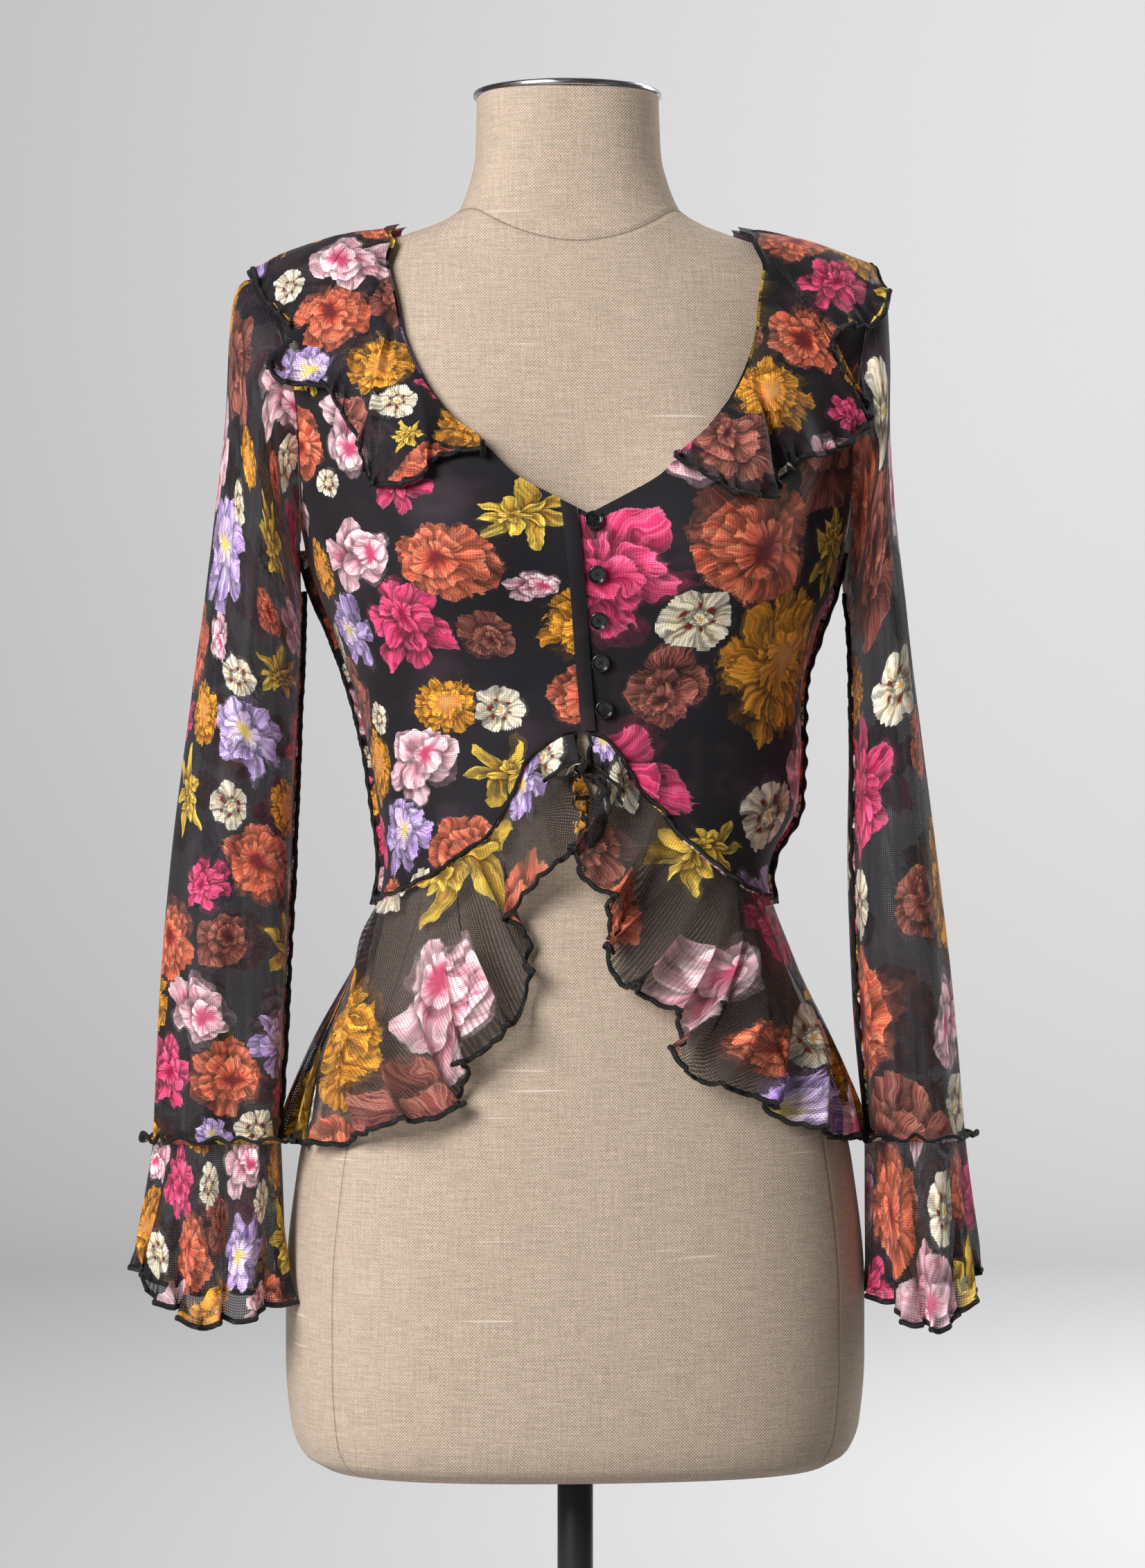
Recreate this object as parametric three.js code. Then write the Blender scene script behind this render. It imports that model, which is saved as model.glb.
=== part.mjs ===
// A sheer long-sleeved blouse with a flounced neckline, flounced cuffs and a cut-away peplum, worn by a
// limbless dress form on a pole and a round foot. Millimetres, +Z up, the front of the blouse faces -Y,
// and the origin is the centre of the foot's underside. +X is the side of the wearer's left arm.
import * as THREE from "three";

// Driving sizes of the stand.
const FOOT_RADIUS = 180;
const FOOT_RIM = 7;
const FOOT_CROWN = 13;
const HUB_RADIUS = 17;
const HUB_TOP = 42;
const POLE_RADIUS = 10.5;
const FORM_FOOT = 470;
const FORM_LOW = -2.5;
const FORM_TOP = 798;
const CAP_RADIUS = 55.5;
const CAP_HEIGHT = 6.4;

// Driving sizes of the cloth.
const WALL = 1.5;
const TOUCH = 0.3;
const SEAM_GAP = 0.5;
const SEAM_HALF_ANGLE = 0.3;
const FRONT_EDGE = { low: 1.8, high: -2.4 };
const BAND_WIDTH_ANGLE = 4.4;
const OVERLAY = 2.8;
const BUTTON_RADIUS = 5;
const BUTTON_HEIGHT = 2.4;
const BUTTONS = [
  { angle: 0.9, height: 542 },
  { angle: 1.4, height: 514 },
  { angle: 1.9, height: 489 },
  { angle: 2.6, height: 465 },
  { angle: 3.7, height: 438 },
];

// Heights below are measured from the underside of the dress form.
// The form: half width of the round core, how far the shoulder reaches past it, and depths from the pole's
// axis.
const FORM = [
  { at: -2.5, core: 149, shoulder: 0, front: 92, back: 95 },
  { at: 5, core: 160.5, shoulder: 0, front: 102, back: 105 },
  { at: 22, core: 167, shoulder: 0, front: 108, back: 112 },
  { at: 60, core: 170, shoulder: 0, front: 112, back: 117 },
  { at: 100, core: 170, shoulder: 0, front: 113, back: 119 },
  { at: 171, core: 163, shoulder: 0, front: 111, back: 118 },
  { at: 230, core: 148, shoulder: 0, front: 106, back: 108 },
  { at: 290, core: 123, shoulder: 0, front: 97, back: 92 },
  { at: 347, core: 107, shoulder: 0, front: 88, back: 80 },
  { at: 390, core: 111, shoulder: 0, front: 90, back: 82 },
  { at: 440, core: 121, shoulder: 0, front: 95, back: 90 },
  { at: 490, core: 133, shoulder: 0, front: 101, back: 97 },
  { at: 531, core: 141, shoulder: 0, front: 104, back: 101 },
  { at: 570, core: 144, shoulder: 0, front: 101, back: 103 },
  { at: 610, core: 137, shoulder: 13, front: 93, back: 104 },
  { at: 650, core: 122, shoulder: 38, front: 82, back: 100 },
  { at: 675, core: 104, shoulder: 66, front: 72, back: 92 },
  { at: 690, core: 92, shoulder: 80, front: 65, back: 84 },
  { at: 700, core: 84, shoulder: 66, front: 61, back: 78 },
  { at: 708, core: 79, shoulder: 47, front: 58, back: 74 },
  { at: 716, core: 74, shoulder: 26, front: 56, back: 70 },
  { at: 724, core: 69, shoulder: 8, front: 54, back: 66 },
  { at: 732, core: 64.5, shoulder: 0, front: 53, back: 62 },
  { at: 747, core: 58.5, shoulder: 0, front: 52.5, back: 57 },
  { at: 765, core: 54.5, shoulder: 0, front: 52.5, back: 54.5 },
  { at: 798, core: 53.4, shoulder: 0, front: 53, back: 53.6 },
];
const SQUARENESS = 0.04;
// The form leans a little towards its right shoulder.
const LEAN = [
  { at: 500, x: 0 },
  { at: 620, x: -2 },
  { at: 700, x: -3 },
  { at: 760, x: -4.2 },
  { at: 800, x: -4.6 },
];
const SHOULDER_POWER = 5;
const BUST = { rise: 27, across: 74, width: 40, height: 528, above: 58, below: 44, fade: 1.6 };
// How much of the dip between the breasts the cloth spans.
const BRIDGE = 0.6;

// How far the bodice stands off the form at its sides, front and back.
const EASE = [
  { at: 170, side: 4.5, front: 5, back: 5 },
  { at: 347, side: 5.5, front: 5, back: 6 },
  { at: 440, side: 6, front: 4, back: 6 },
  { at: 487, side: 10.5, front: 3.6, back: 5 },
  { at: 515, side: 15, front: 3.4, back: 4.5 },
  { at: 538, side: 17, front: 3.4, back: 4 },
  { at: 600, side: 12, front: 3.4, back: 4 },
  { at: 660, side: 6, front: 4.6, back: 4.6 },
  { at: 690, side: 6.5, front: 4.8, back: 4.6 },
  { at: 720, side: 4.4, front: 4.4, back: 4.4 },
];

// Where the cloth bags out over the waist on the wearer's left side.
const BAG = { out: 15, height: 386, above: 52, below: 26, power: 4 };

// Seams, by the angle from the front centre, or from the back centre for the back neckline.
const WAIST_SEAM = [
  { at: 0, right: 425, left: 425 },
  { at: 5, right: 424, left: 421 },
  { at: 9, right: 420, left: 408 },
  { at: 14, right: 411, left: 393 },
  { at: 20, right: 388, left: 379 },
  { at: 27, right: 366, left: 364 },
  { at: 36, right: 354, left: 351 },
  { at: 45, right: 343, left: 340 },
  { at: 55, right: 336, left: 332 },
  { at: 70, right: 328, left: 327 },
  { at: 90, right: 322, left: 322 },
  { at: 130, right: 318, left: 318 },
  { at: 180, right: 316, left: 316 },
];
const NECK_FRONT = [
  { at: 0, height: 546 },
  { at: 7.5, height: 557 },
  { at: 14.4, height: 568 },
  { at: 19, height: 581 },
  { at: 27.3, height: 600 },
  { at: 34, height: 618 },
  { at: 40, height: 636 },
  { at: 44.5, height: 651 },
  { at: 49.5, height: 672 },
  { at: 54, height: 690 },
  { at: 62.5, height: 706 },
  { at: 90, height: 718 },
];
const NECK_BACK = [
  { at: 0, height: 688 },
  { at: 15, height: 690 },
  { at: 30, height: 695 },
  { at: 45, height: 702 },
  { at: 60, height: 709 },
  { at: 75, height: 715 },
  { at: 90, height: 718 },
];
const ARMHOLE = { low: 538, high: 692, nearX: 160, farX: 180, middleY: 5, halfDepth: 50 };
// How the panels meet the armhole: the angle they give up to it, over what height they reach it, and from
// what share of their width they turn towards it.
const ARMHOLE_BITE = { angle: 28, power: 0.7, height: 8, from: 0.25 };

// Sleeve rings from the armhole to the wrist: the outer and inner silhouette, half depth and middle in depth,
// and how strongly the ring bends round the shoulder.
const SLEEVE_RIGHT = [
  { at: 0, outerX: 180, outerZ: 692, innerX: 160, innerZ: 538, depth: 50, middle: 5, bend: 3 },
  { at: 1, outerX: 191, outerZ: 690, innerX: 161, innerZ: 534, depth: 52, middle: 4, bend: 2 },
  { at: 2, outerX: 198, outerZ: 678, innerX: 161, innerZ: 529, depth: 54, middle: 3, bend: 1.4 },
  { at: 3, outerX: 201, outerZ: 652, innerX: 161, innerZ: 521, depth: 56, middle: 2, bend: 1 },
  { at: 4, outerX: 203, outerZ: 615, innerX: 161, innerZ: 509, depth: 57, middle: 1, bend: 1 },
  { at: 5, outerX: 209, outerZ: 565, innerX: 161, innerZ: 494, depth: 57, middle: -1, bend: 1 },
  { at: 6, outerX: 217, outerZ: 503, innerX: 161.5, innerZ: 464, depth: 55, middle: -4, bend: 1 },
  { at: 7, outerX: 226, outerZ: 430, innerX: 163, innerZ: 414, depth: 51, middle: -9, bend: 1 },
  { at: 8, outerX: 235, outerZ: 350, innerX: 165, innerZ: 345, depth: 44, middle: -15, bend: 1 },
  { at: 9, outerX: 241, outerZ: 270, innerX: 168.5, innerZ: 269, depth: 35, middle: -22, bend: 1 },
  { at: 10, outerX: 244.5, outerZ: 189, innerX: 172.5, innerZ: 189, depth: 26, middle: -28, bend: 1 },
];
const SLEEVE_LEFT = [
  { at: 0, outerX: 180, outerZ: 692, innerX: 160, innerZ: 538, depth: 50, middle: 5, bend: 3 },
  { at: 1, outerX: 185, outerZ: 690, innerX: 161, innerZ: 534, depth: 53, middle: 4, bend: 2 },
  { at: 2, outerX: 187, outerZ: 676, innerX: 161, innerZ: 529, depth: 56, middle: 3, bend: 1.4 },
  { at: 3, outerX: 187, outerZ: 651, innerX: 161, innerZ: 521, depth: 59, middle: 2, bend: 1 },
  { at: 4, outerX: 186, outerZ: 615, innerX: 161, innerZ: 509, depth: 61, middle: 1, bend: 1 },
  { at: 5, outerX: 187.5, outerZ: 566, innerX: 162.5, innerZ: 494, depth: 62, middle: -1, bend: 1 },
  { at: 6, outerX: 193.5, outerZ: 504, innerX: 163.5, innerZ: 464, depth: 61, middle: -4, bend: 1 },
  { at: 7, outerX: 202, outerZ: 430, innerX: 163.5, innerZ: 414, depth: 58, middle: -9, bend: 1 },
  { at: 8, outerX: 211, outerZ: 350, innerX: 162, innerZ: 345, depth: 52, middle: -15, bend: 1 },
  { at: 9, outerX: 219, outerZ: 270, innerX: 163.5, innerZ: 269, depth: 44, middle: -22, bend: 1 },
  { at: 10, outerX: 225, outerZ: 189, innerX: 169.5, innerZ: 189, depth: 35, middle: -28, bend: 1 },
];
const SLEEVE_FOLDS = { count: 5, depth: 2.6, start: 5, fadeIn: 4, turned: 0.6 };
// How far the sleeve stands off the armhole, and over how much of its length that fades.
const ARMHOLE_GAP = 1.9;
const ARMHOLE_GAP_LENGTH = 0.25;
// Cuff flounces: the ring at the seam is the sleeve's last ring, and this is the ring at the hem.
const CUFF_RIGHT = {
  outerX: 253,
  innerX: 171.5,
  depth: 38,
  middle: -34,
  outerZ: 119,
  innerZ: 100,
  frontZ: 89,
  backZ: 98,
};
const CUFF_LEFT = {
  outerX: 229,
  innerX: 172,
  depth: 43,
  middle: -36,
  outerZ: 113,
  innerZ: 102,
  frontZ: 84,
  backZ: 98,
};
const CUFF_WAVE = { count: 9, out: 5.5, along: 0.1, lift: 0.4, spread: 1.1 };

// The flounce at the neck: where each station starts on the neckline (angle from the front centre, front half
// or back half) and where its hem hangs.
const FLOUNCE_RIGHT = [
  { at: 0, angle: 20, x: 55, y: -117, z: 578, bulge: 0 },
  { at: 1, angle: 24, x: 68, y: -116, z: 583, bulge: 1 },
  { at: 2, angle: 29, x: 82, y: -117, z: 580, bulge: 2 },
  { at: 3, angle: 34, x: 93, y: -121, z: 570, bulge: 4 },
  { at: 4, angle: 39, x: 106, y: -112, z: 564, bulge: 5 },
  { at: 5, angle: 44, x: 119, y: -101, z: 565, bulge: 6 },
  { at: 6, angle: 48, x: 125, y: -90, z: 583, bulge: 2 },
  { at: 7, angle: 53, x: 133, y: -86, z: 600, bulge: 3 },
  { at: 8, angle: 58, x: 140, y: -84, z: 614, bulge: 5 },
  { at: 9, angle: 63, x: 148, y: -70, z: 624, bulge: 3 },
  { at: 10, angle: 70, x: 166, y: -62, z: 624, bulge: 5 },
  { at: 11, angle: 76, x: 177, y: -58, z: 634, bulge: 6 },
  { at: 12, angle: 82, x: 163, y: -50, z: 652, bulge: 1 },
  { at: 13, angle: 87, x: 173, y: -40, z: 668, bulge: 2 },
  { at: 14, angle: 92, x: 181, y: -29, z: 680, bulge: 3 },
  { at: 15, angle: 98, x: 186, y: -6, z: 697, bulge: 4 },
  { at: 16, angle: 108, x: 186, y: 24, z: 695, bulge: 4 },
  { at: 17, angle: 122, x: 165, y: 60, z: 664, bulge: 6 },
  { at: 18, angle: 140, x: 128, y: 90, z: 633, bulge: 8 },
  { at: 19, angle: 160, x: 70, y: 112, z: 612, bulge: 8 },
  { at: 20, angle: 180, x: 0, y: 119, z: 605, bulge: 7 },
];
const FLOUNCE_LEFT = [
  { at: 0, angle: 18, x: 49, y: -114, z: 580, bulge: 0 },
  { at: 1, angle: 22, x: 66, y: -121, z: 568, bulge: 2 },
  { at: 2, angle: 27, x: 86, y: -125, z: 559, bulge: 5 },
  { at: 3, angle: 32, x: 103, y: -122, z: 557, bulge: 6 },
  { at: 4, angle: 37, x: 112, y: -107, z: 570, bulge: 2 },
  { at: 5, angle: 42, x: 121, y: -102, z: 580, bulge: 3 },
  { at: 6, angle: 47, x: 141, y: -82, z: 585, bulge: 4 },
  { at: 7, angle: 52, x: 159, y: -64, z: 597, bulge: 5 },
  { at: 8, angle: 57, x: 168, y: -60, z: 611, bulge: 6 },
  { at: 9, angle: 62, x: 150, y: -63, z: 634, bulge: 1 },
  { at: 10, angle: 67, x: 143, y: -64, z: 646, bulge: 1 },
  { at: 11, angle: 73, x: 154, y: -58, z: 658, bulge: 2 },
  { at: 12, angle: 80, x: 171, y: -46, z: 662, bulge: 5 },
  { at: 13, angle: 87, x: 181, y: -37, z: 673, bulge: 4 },
  { at: 14, angle: 93, x: 183, y: -20, z: 687, bulge: 3 },
  { at: 15, angle: 99, x: 176, y: -4, z: 700, bulge: 4 },
  { at: 16, angle: 109, x: 178, y: 26, z: 692, bulge: 4 },
  { at: 17, angle: 122, x: 165, y: 60, z: 664, bulge: 6 },
  { at: 18, angle: 140, x: 128, y: 90, z: 633, bulge: 8 },
  { at: 19, angle: 160, x: 70, y: 112, z: 612, bulge: 8 },
  { at: 20, angle: 180, x: 0, y: 119, z: 605, bulge: 7 },
];
// How far the flounce lies off the bodice at its seam and further out, how soon it gets there, and how near
// the edge of a panel it still feels it.
const FLOUNCE_OFF = { seam: 2.4, more: 3.4, soon: 2.5, edge: 3 };
// The way a flounce bulges: the weight of each axis, and the height from which it turns upwards.
const FLOUNCE_BULGE = { x: 0.3, y: 1.1, z: 0.5, level: 560 };
const FLOUNCE_WAVE = { onBack: 4, out: 10, along: 0.16, rise: 1.3, from: 15.5 };

// The peplum: for each angle of the waist seam, the angle and height of its hem or front edge.
const PEPLUM_RIGHT = [
  { at: 3, angle: 0.6, height: 386 },
  { at: 12, angle: 8.5, height: 355 },
  { at: 20, angle: 14.2, height: 328 },
  { at: 28, angle: 15.2, height: 299 },
  { at: 36, angle: 17, height: 262 },
  { at: 43, angle: 20.2, height: 238 },
  { at: 50, angle: 23.5, height: 219 },
  { at: 60, angle: 32, height: 206 },
  { at: 75, angle: 48, height: 192 },
  { at: 90, angle: 67, height: 188 },
  { at: 120, angle: 108, height: 186 },
  { at: 180, angle: 180, height: 184 },
];
const PEPLUM_LEFT = [
  { at: 1.5, angle: 3.6, height: 372 },
  { at: 12, angle: 0.6, height: 346 },
  { at: 22, angle: 3, height: 321 },
  { at: 30, angle: 7, height: 298 },
  { at: 38, angle: 10.5, height: 277 },
  { at: 46, angle: 15, height: 262 },
  { at: 54, angle: 18.8, height: 246 },
  { at: 62, angle: 20.5, height: 229 },
  { at: 70, angle: 29, height: 216 },
  { at: 80, angle: 39.5, height: 207 },
  { at: 90, angle: 58, height: 191 },
  { at: 120, angle: 106, height: 187 },
  { at: 180, angle: 180, height: 184 },
];
const PEPLUM_WAVE = { frontCount: 3.5, backCount: 8, out: 13, along: 3.2, rise: 1.2, flare: 5, calm: 0.72 };
const STEEP_SEAM_GAP = 1.1;

const RADIANS = Math.PI / 180;
const mix = (a, b, t) => a + (b - a) * t;
const softStep = (t) => {
  const c = Math.min(1, Math.max(0, t));
  return c * c * (3 - 2 * c);
};

// A column of a table at a place between its rows, on a smooth curve that never overshoots.
function read(table, place, column) {
  const last = table.length - 1;
  if (place <= table[0].at) return table[0][column];
  if (place >= table[last].at) return table[last][column];
  const i = table.findIndex((row) => row.at > place) - 1;
  const slope = (k) => (table[k + 1][column] - table[k][column]) / (table[k + 1].at - table[k].at);
  const tangent = (k) => {
    if (k === 0) return slope(0);
    if (k === last) return slope(last - 1);
    const [before, after] = [slope(k - 1), slope(k)];
    return before * after > 0 ? (2 * before * after) / (before + after) : 0;
  };
  const span = table[i + 1].at - table[i].at;
  const t = (place - table[i].at) / span;
  const [t2, t3] = [t * t, t * t * t];
  return (
    (2 * t3 - 3 * t2 + 1) * table[i][column] +
    (t3 - 2 * t2 + t) * span * tangent(i) +
    (3 * t2 - 2 * t3) * table[i + 1][column] +
    (t3 - t2) * span * tangent(i + 1)
  );
}

// A point of the dress form. The angle is in degrees from the front centre towards +X.
function formPoint(angle, height, bridge = 0) {
  const a = angle * RADIANS;
  const [s, c] = [Math.sin(a), Math.cos(a)];
  const core = read(FORM, height, "core");
  const reach = read(FORM, height, "shoulder") * Math.sign(s) * Math.abs(s) ** SHOULDER_POWER;
  const x = (core * (s + SQUARENESS * Math.sin(3 * a))) / (1 - SQUARENESS) + reach;
  const depth = mix(read(FORM, height, "back"), read(FORM, height, "front"), (1 + c) / 2);
  let y = (-depth * (c - SQUARENESS * Math.cos(3 * a))) / (1 - SQUARENESS);
  let across = Math.exp(-(((Math.abs(x) - BUST.across) / BUST.width) ** 2));
  if (Math.abs(x) < BUST.across) across = mix(across, 1, bridge);
  const spread = height > BUST.height ? BUST.above : BUST.below;
  const upright = Math.exp(-(((height - BUST.height) / spread) ** 2));
  y -= BUST.rise * across * upright * softStep(c * BUST.fade);
  return new THREE.Vector3(x, y, height);
}

// The way out of the body under the cloth.
function clothNormal(angle, height) {
  const step = 0.5;
  const along = formPoint(angle + step, height, BRIDGE).sub(formPoint(angle - step, height, BRIDGE));
  const up = formPoint(angle, height + step, BRIDGE).sub(formPoint(angle, height - step, BRIDGE));
  return along.cross(up).normalize();
}

// A point of the bodice's middle surface, or of cloth that lies "lift" outside it.
function clothPoint(angle, height, lift = 0) {
  const c = Math.cos(angle * RADIANS);
  const flat = read(EASE, height, c > 0 ? "front" : "back");
  const ease = mix(read(EASE, height, "side"), flat, c * c);
  return formPoint(angle, height, BRIDGE).addScaledVector(clothNormal(angle, height), ease + lift);
}

function armholePoint(height, isFront) {
  const middle = (ARMHOLE.low + ARMHOLE.high) / 2;
  const cosine = Math.min(1, Math.max(-1, (height - middle) / (ARMHOLE.high - middle)));
  const rise = (1 + cosine) / 2;
  const y = ARMHOLE.middleY + (isFront ? -1 : 1) * ARMHOLE.halfDepth * Math.sqrt(1 - cosine * cosine);
  return new THREE.Vector3(mix(ARMHOLE.nearX, ARMHOLE.farX, rise ** 3), y, height);
}

// How far from the front or back centre a panel reaches at a height: to its side seam, armhole or shoulder.
function panelReach(height) {
  const t = (height - ARMHOLE.low) / (ARMHOLE.high - ARMHOLE.low);
  const bite = t > 0 && t < 1 ? ARMHOLE_BITE.angle * Math.sin(Math.PI * t) ** ARMHOLE_BITE.power : 0;
  return 90 - SEAM_HALF_ANGLE - bite;
}

// The cloth's bagging at an angle and height, for the side it lies on.
function bagging(side, angle, height) {
  if (side < 0) return 0;
  const spread = height > BAG.height ? BAG.above : BAG.below;
  const upright = Math.exp(-(((height - BAG.height) / spread) ** 2));
  return BAG.out * upright * Math.sin(angle * RADIANS) ** BAG.power;
}

// A point of half a bodice panel on the +X side: "out" runs from the centre to the side and "up" from the
// waist seam to the neckline, and side tells whose half it is.
function bodicePoint(side, isFront, centre, out, up) {
  const neck = isFront ? NECK_FRONT : NECK_BACK;
  const whose = side < 0 ? "right" : "left";
  const sideHeight = mix(read(WAIST_SEAM, 90, whose), read(neck, 90, "height"), up);
  const reach = panelReach(sideHeight);
  const heightAt = (turn) => {
    const seam = read(WAIST_SEAM, isFront ? Math.abs(turn) : 180 - turn, whose);
    return mix(seam, read(neck, Math.abs(turn), "height"), up);
  };
  const skinAt = (turn) => {
    const angle = isFront ? turn : 180 - turn;
    return clothPoint(angle, heightAt(turn), bagging(side, angle, heightAt(turn)));
  };
  const point = skinAt(mix(centre, reach, out));
  if (sideHeight > ARMHOLE.low && sideHeight < ARMHOLE.high) {
    const pull = armholePoint(heightAt(reach), isFront).sub(skinAt(reach));
    const nearness = Math.min(sideHeight - ARMHOLE.low, ARMHOLE.high - sideHeight) / ARMHOLE_BITE.height;
    const share = softStep((out - ARMHOLE_BITE.from) / (1 - ARMHOLE_BITE.from));
    point.addScaledVector(pull, share * Math.min(1, nearness));
  }
  return point;
}

// A closed wall around a grid of points. across and along count its cells; a tube closes on itself across.
function wall(name, material, across, along, pointAt, isTube = false, thickness = WALL) {
  const columns = isTube ? across : across + 1;
  const grid = [];
  for (let j = 0; j <= along; j++)
    for (let i = 0; i < columns; i++) grid.push(pointAt(i / across, j / along));
  const column = (i) => (isTube ? (i + columns) % columns : Math.min(columns - 1, Math.max(0, i)));
  const at = (i, j) => grid[j * columns + column(i)];
  const skins = [[], []];
  for (let j = 0; j <= along; j++)
    for (let i = 0; i < columns; i++) {
      const u = at(i + 1, j).clone().sub(at(i - 1, j));
      const v = at(i, Math.min(along, j + 1)).clone().sub(at(i, Math.max(0, j - 1)));
      const normal = u.cross(v).normalize();
      for (const side of [0, 1])
        skins[side].push(at(i, j).clone().addScaledVector(normal, (side ? -0.5 : 0.5) * thickness));
    }
  const points = [...skins[0], ...skins[1]];
  const inner = skins[0].length;
  const index = (i, j) => j * columns + (isTube ? i % columns : i);
  const faces = [];
  const quad = (a, b, c, d) => faces.push(a, b, c, a, c, d);
  for (let j = 0; j < along; j++)
    for (let i = 0; i < across; i++) {
      const corners = [index(i, j), index(i + 1, j), index(i + 1, j + 1), index(i, j + 1)];
      quad(...corners);
      quad(...corners.map((k) => k + inner).reverse());
    }
  for (let i = 0; i < across; i++) {
    const [a, b, c, d] = [index(i, 0), index(i + 1, 0), index(i, along), index(i + 1, along)];
    quad(b, a, a + inner, b + inner);
    quad(c, d, d + inner, c + inner);
  }
  if (!isTube)
    for (let j = 0; j < along; j++) {
      const [a, b, c, d] = [index(0, j), index(0, j + 1), index(across, j), index(across, j + 1)];
      quad(a, b, b + inner, a + inner);
      quad(d, c, c + inner, d + inner);
    }
  return closedMesh(name, material, points, faces);
}

// A mesh from points and faces, turned so that its faces point out.
function closedMesh(name, material, points, faces) {
  let volume = 0;
  for (let k = 0; k < faces.length; k += 3) {
    const [a, b, c] = [points[faces[k]], points[faces[k + 1]], points[faces[k + 2]]];
    volume += a.dot(b.clone().cross(c));
  }
  if (volume < 0) faces.reverse();
  const geometry = new THREE.BufferGeometry().setFromPoints(points);
  geometry.setIndex(faces);
  geometry.computeVertexNormals();
  const mesh = new THREE.Mesh(geometry, material);
  mesh.name = name;
  return mesh;
}

const MATERIALS = {
  print: new THREE.MeshStandardMaterial({ color: 0x221c20, roughness: 0.75, metalness: 0 }),
  linen: new THREE.MeshStandardMaterial({ color: 0xbfae97, roughness: 0.9, metalness: 0 }),
  chrome: new THREE.MeshStandardMaterial({ color: 0xb9b9bb, roughness: 0.25, metalness: 1 }),
  steel: new THREE.MeshStandardMaterial({ color: 0x26282b, roughness: 0.45, metalness: 0.3 }),
  button: new THREE.MeshStandardMaterial({ color: 0x0a0a0c, roughness: 0.2, metalness: 0 }),
};

// A point worked out on the +X side, put on its own side and leaning with the form.
function placed(point, side) {
  return new THREE.Vector3(point.x * side + read(LEAN, point.z, "x"), point.y, point.z);
}

// The dress form: one closed solid of rings, with flat ends.
function dressForm() {
  const around = 32;
  const heights = [FORM_LOW, 5, 22, 60, 130, 190, 240, 290, 330, 370, 420, 470, 505, 530, 560, 595];
  heights.push(630, 660, 680, 690, 700, 708, 716, 724, 733, 748, 765, FORM_TOP);
  const points = [];
  for (const height of heights)
    for (let i = 0; i < around; i++) points.push(placed(formPoint((360 * i) / around, height), 1));
  const faces = [];
  for (let j = 0; j + 1 < heights.length; j++)
    for (let i = 0; i < around; i++) {
      const [a, b] = [j * around + i, j * around + ((i + 1) % around)];
      faces.push(a, b, b + around, a, b + around, a + around);
    }
  const top = (heights.length - 1) * around;
  for (let i = 1; i + 1 < around; i++) faces.push(0, i + 1, i, top, top + i, top + i + 1);
  return closedMesh("form_torso", MATERIALS.linen, points, faces);
}

function turned(name, material, profile, segments) {
  const geometry = new THREE.LatheGeometry(profile.map(([r, z]) => new THREE.Vector2(r, z)), segments);
  geometry.rotateX(Math.PI / 2);
  const mesh = new THREE.Mesh(geometry, material);
  mesh.name = name;
  return mesh;
}

function neckCap() {
  const low = FORM_TOP + TOUCH;
  const profile = [
    [0, low],
    [CAP_RADIUS - 1, low],
    [CAP_RADIUS, low + 1],
    [CAP_RADIUS, low + 2.8],
    [CAP_RADIUS - 1.2, low + 3.8],
    [CAP_RADIUS * 0.5, low + CAP_HEIGHT - 0.6],
    [0, low + CAP_HEIGHT],
  ];
  const mesh = turned("form_neck_cap", MATERIALS.chrome, profile, 32);
  mesh.position.x = read(LEAN, FORM_TOP, "x");
  return mesh;
}

function standFoot() {
  const profile = [
    [0, 0],
    [FOOT_RADIUS, 0],
    [FOOT_RADIUS, FOOT_RIM - 2],
    [FOOT_RADIUS - 2, FOOT_RIM],
    [HUB_RADIUS + 8, FOOT_CROWN],
    [HUB_RADIUS, FOOT_CROWN + 4],
    [HUB_RADIUS, HUB_TOP - 2],
    [HUB_RADIUS - 2, HUB_TOP],
    [0, HUB_TOP],
  ];
  return turned("stand_foot", MATERIALS.steel, profile, 40);
}

function standPole() {
  const profile = [
    [0, HUB_TOP + TOUCH],
    [POLE_RADIUS, HUB_TOP + TOUCH],
    [POLE_RADIUS, FORM_FOOT + FORM_LOW - TOUCH],
    [0, FORM_FOOT + FORM_LOW - TOUCH],
  ];
  return turned("stand_pole", MATERIALS.steel, profile, 20);
}

// Bodice panels. Rows crowd towards the shoulder, where the cloth turns over it.
const upwards = (t) => 1 - (1 - t) ** 1.5;

function frontPanel(name, side) {
  const pointAt = (u, v) => {
    const up = upwards(v);
    const centre = side * mix(FRONT_EDGE.low, FRONT_EDGE.high, up) + SEAM_HALF_ANGLE / 2;
    return placed(bodicePoint(side, true, centre, u ** 1.25, up), side);
  };
  return wall(name, MATERIALS.print, 14, 20, pointAt);
}

function backPanel() {
  const pointAt = (u, v) => {
    const side = u < 0.5 ? -1 : 1;
    return placed(bodicePoint(side, false, 0, Math.abs(2 * u - 1), upwards(v)), side);
  };
  return wall("bodice_back", MATERIALS.print, 20, 16, pointAt);
}

// The folded front edge of the wearer's right front, laid on it.
function frontBand() {
  const pointAt = (u, v) => {
    const angle = BAND_WIDTH_ANGLE * u - mix(FRONT_EDGE.low, FRONT_EDGE.high, v);
    const low = read(WAIST_SEAM, Math.abs(angle), "right");
    const high = read(NECK_FRONT, Math.abs(angle), "height");
    return placed(clothPoint(angle, mix(low + 1, high - 1, v), OVERLAY), -1);
  };
  return wall("front_band", MATERIALS.print, 2, 8, pointAt);
}

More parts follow.
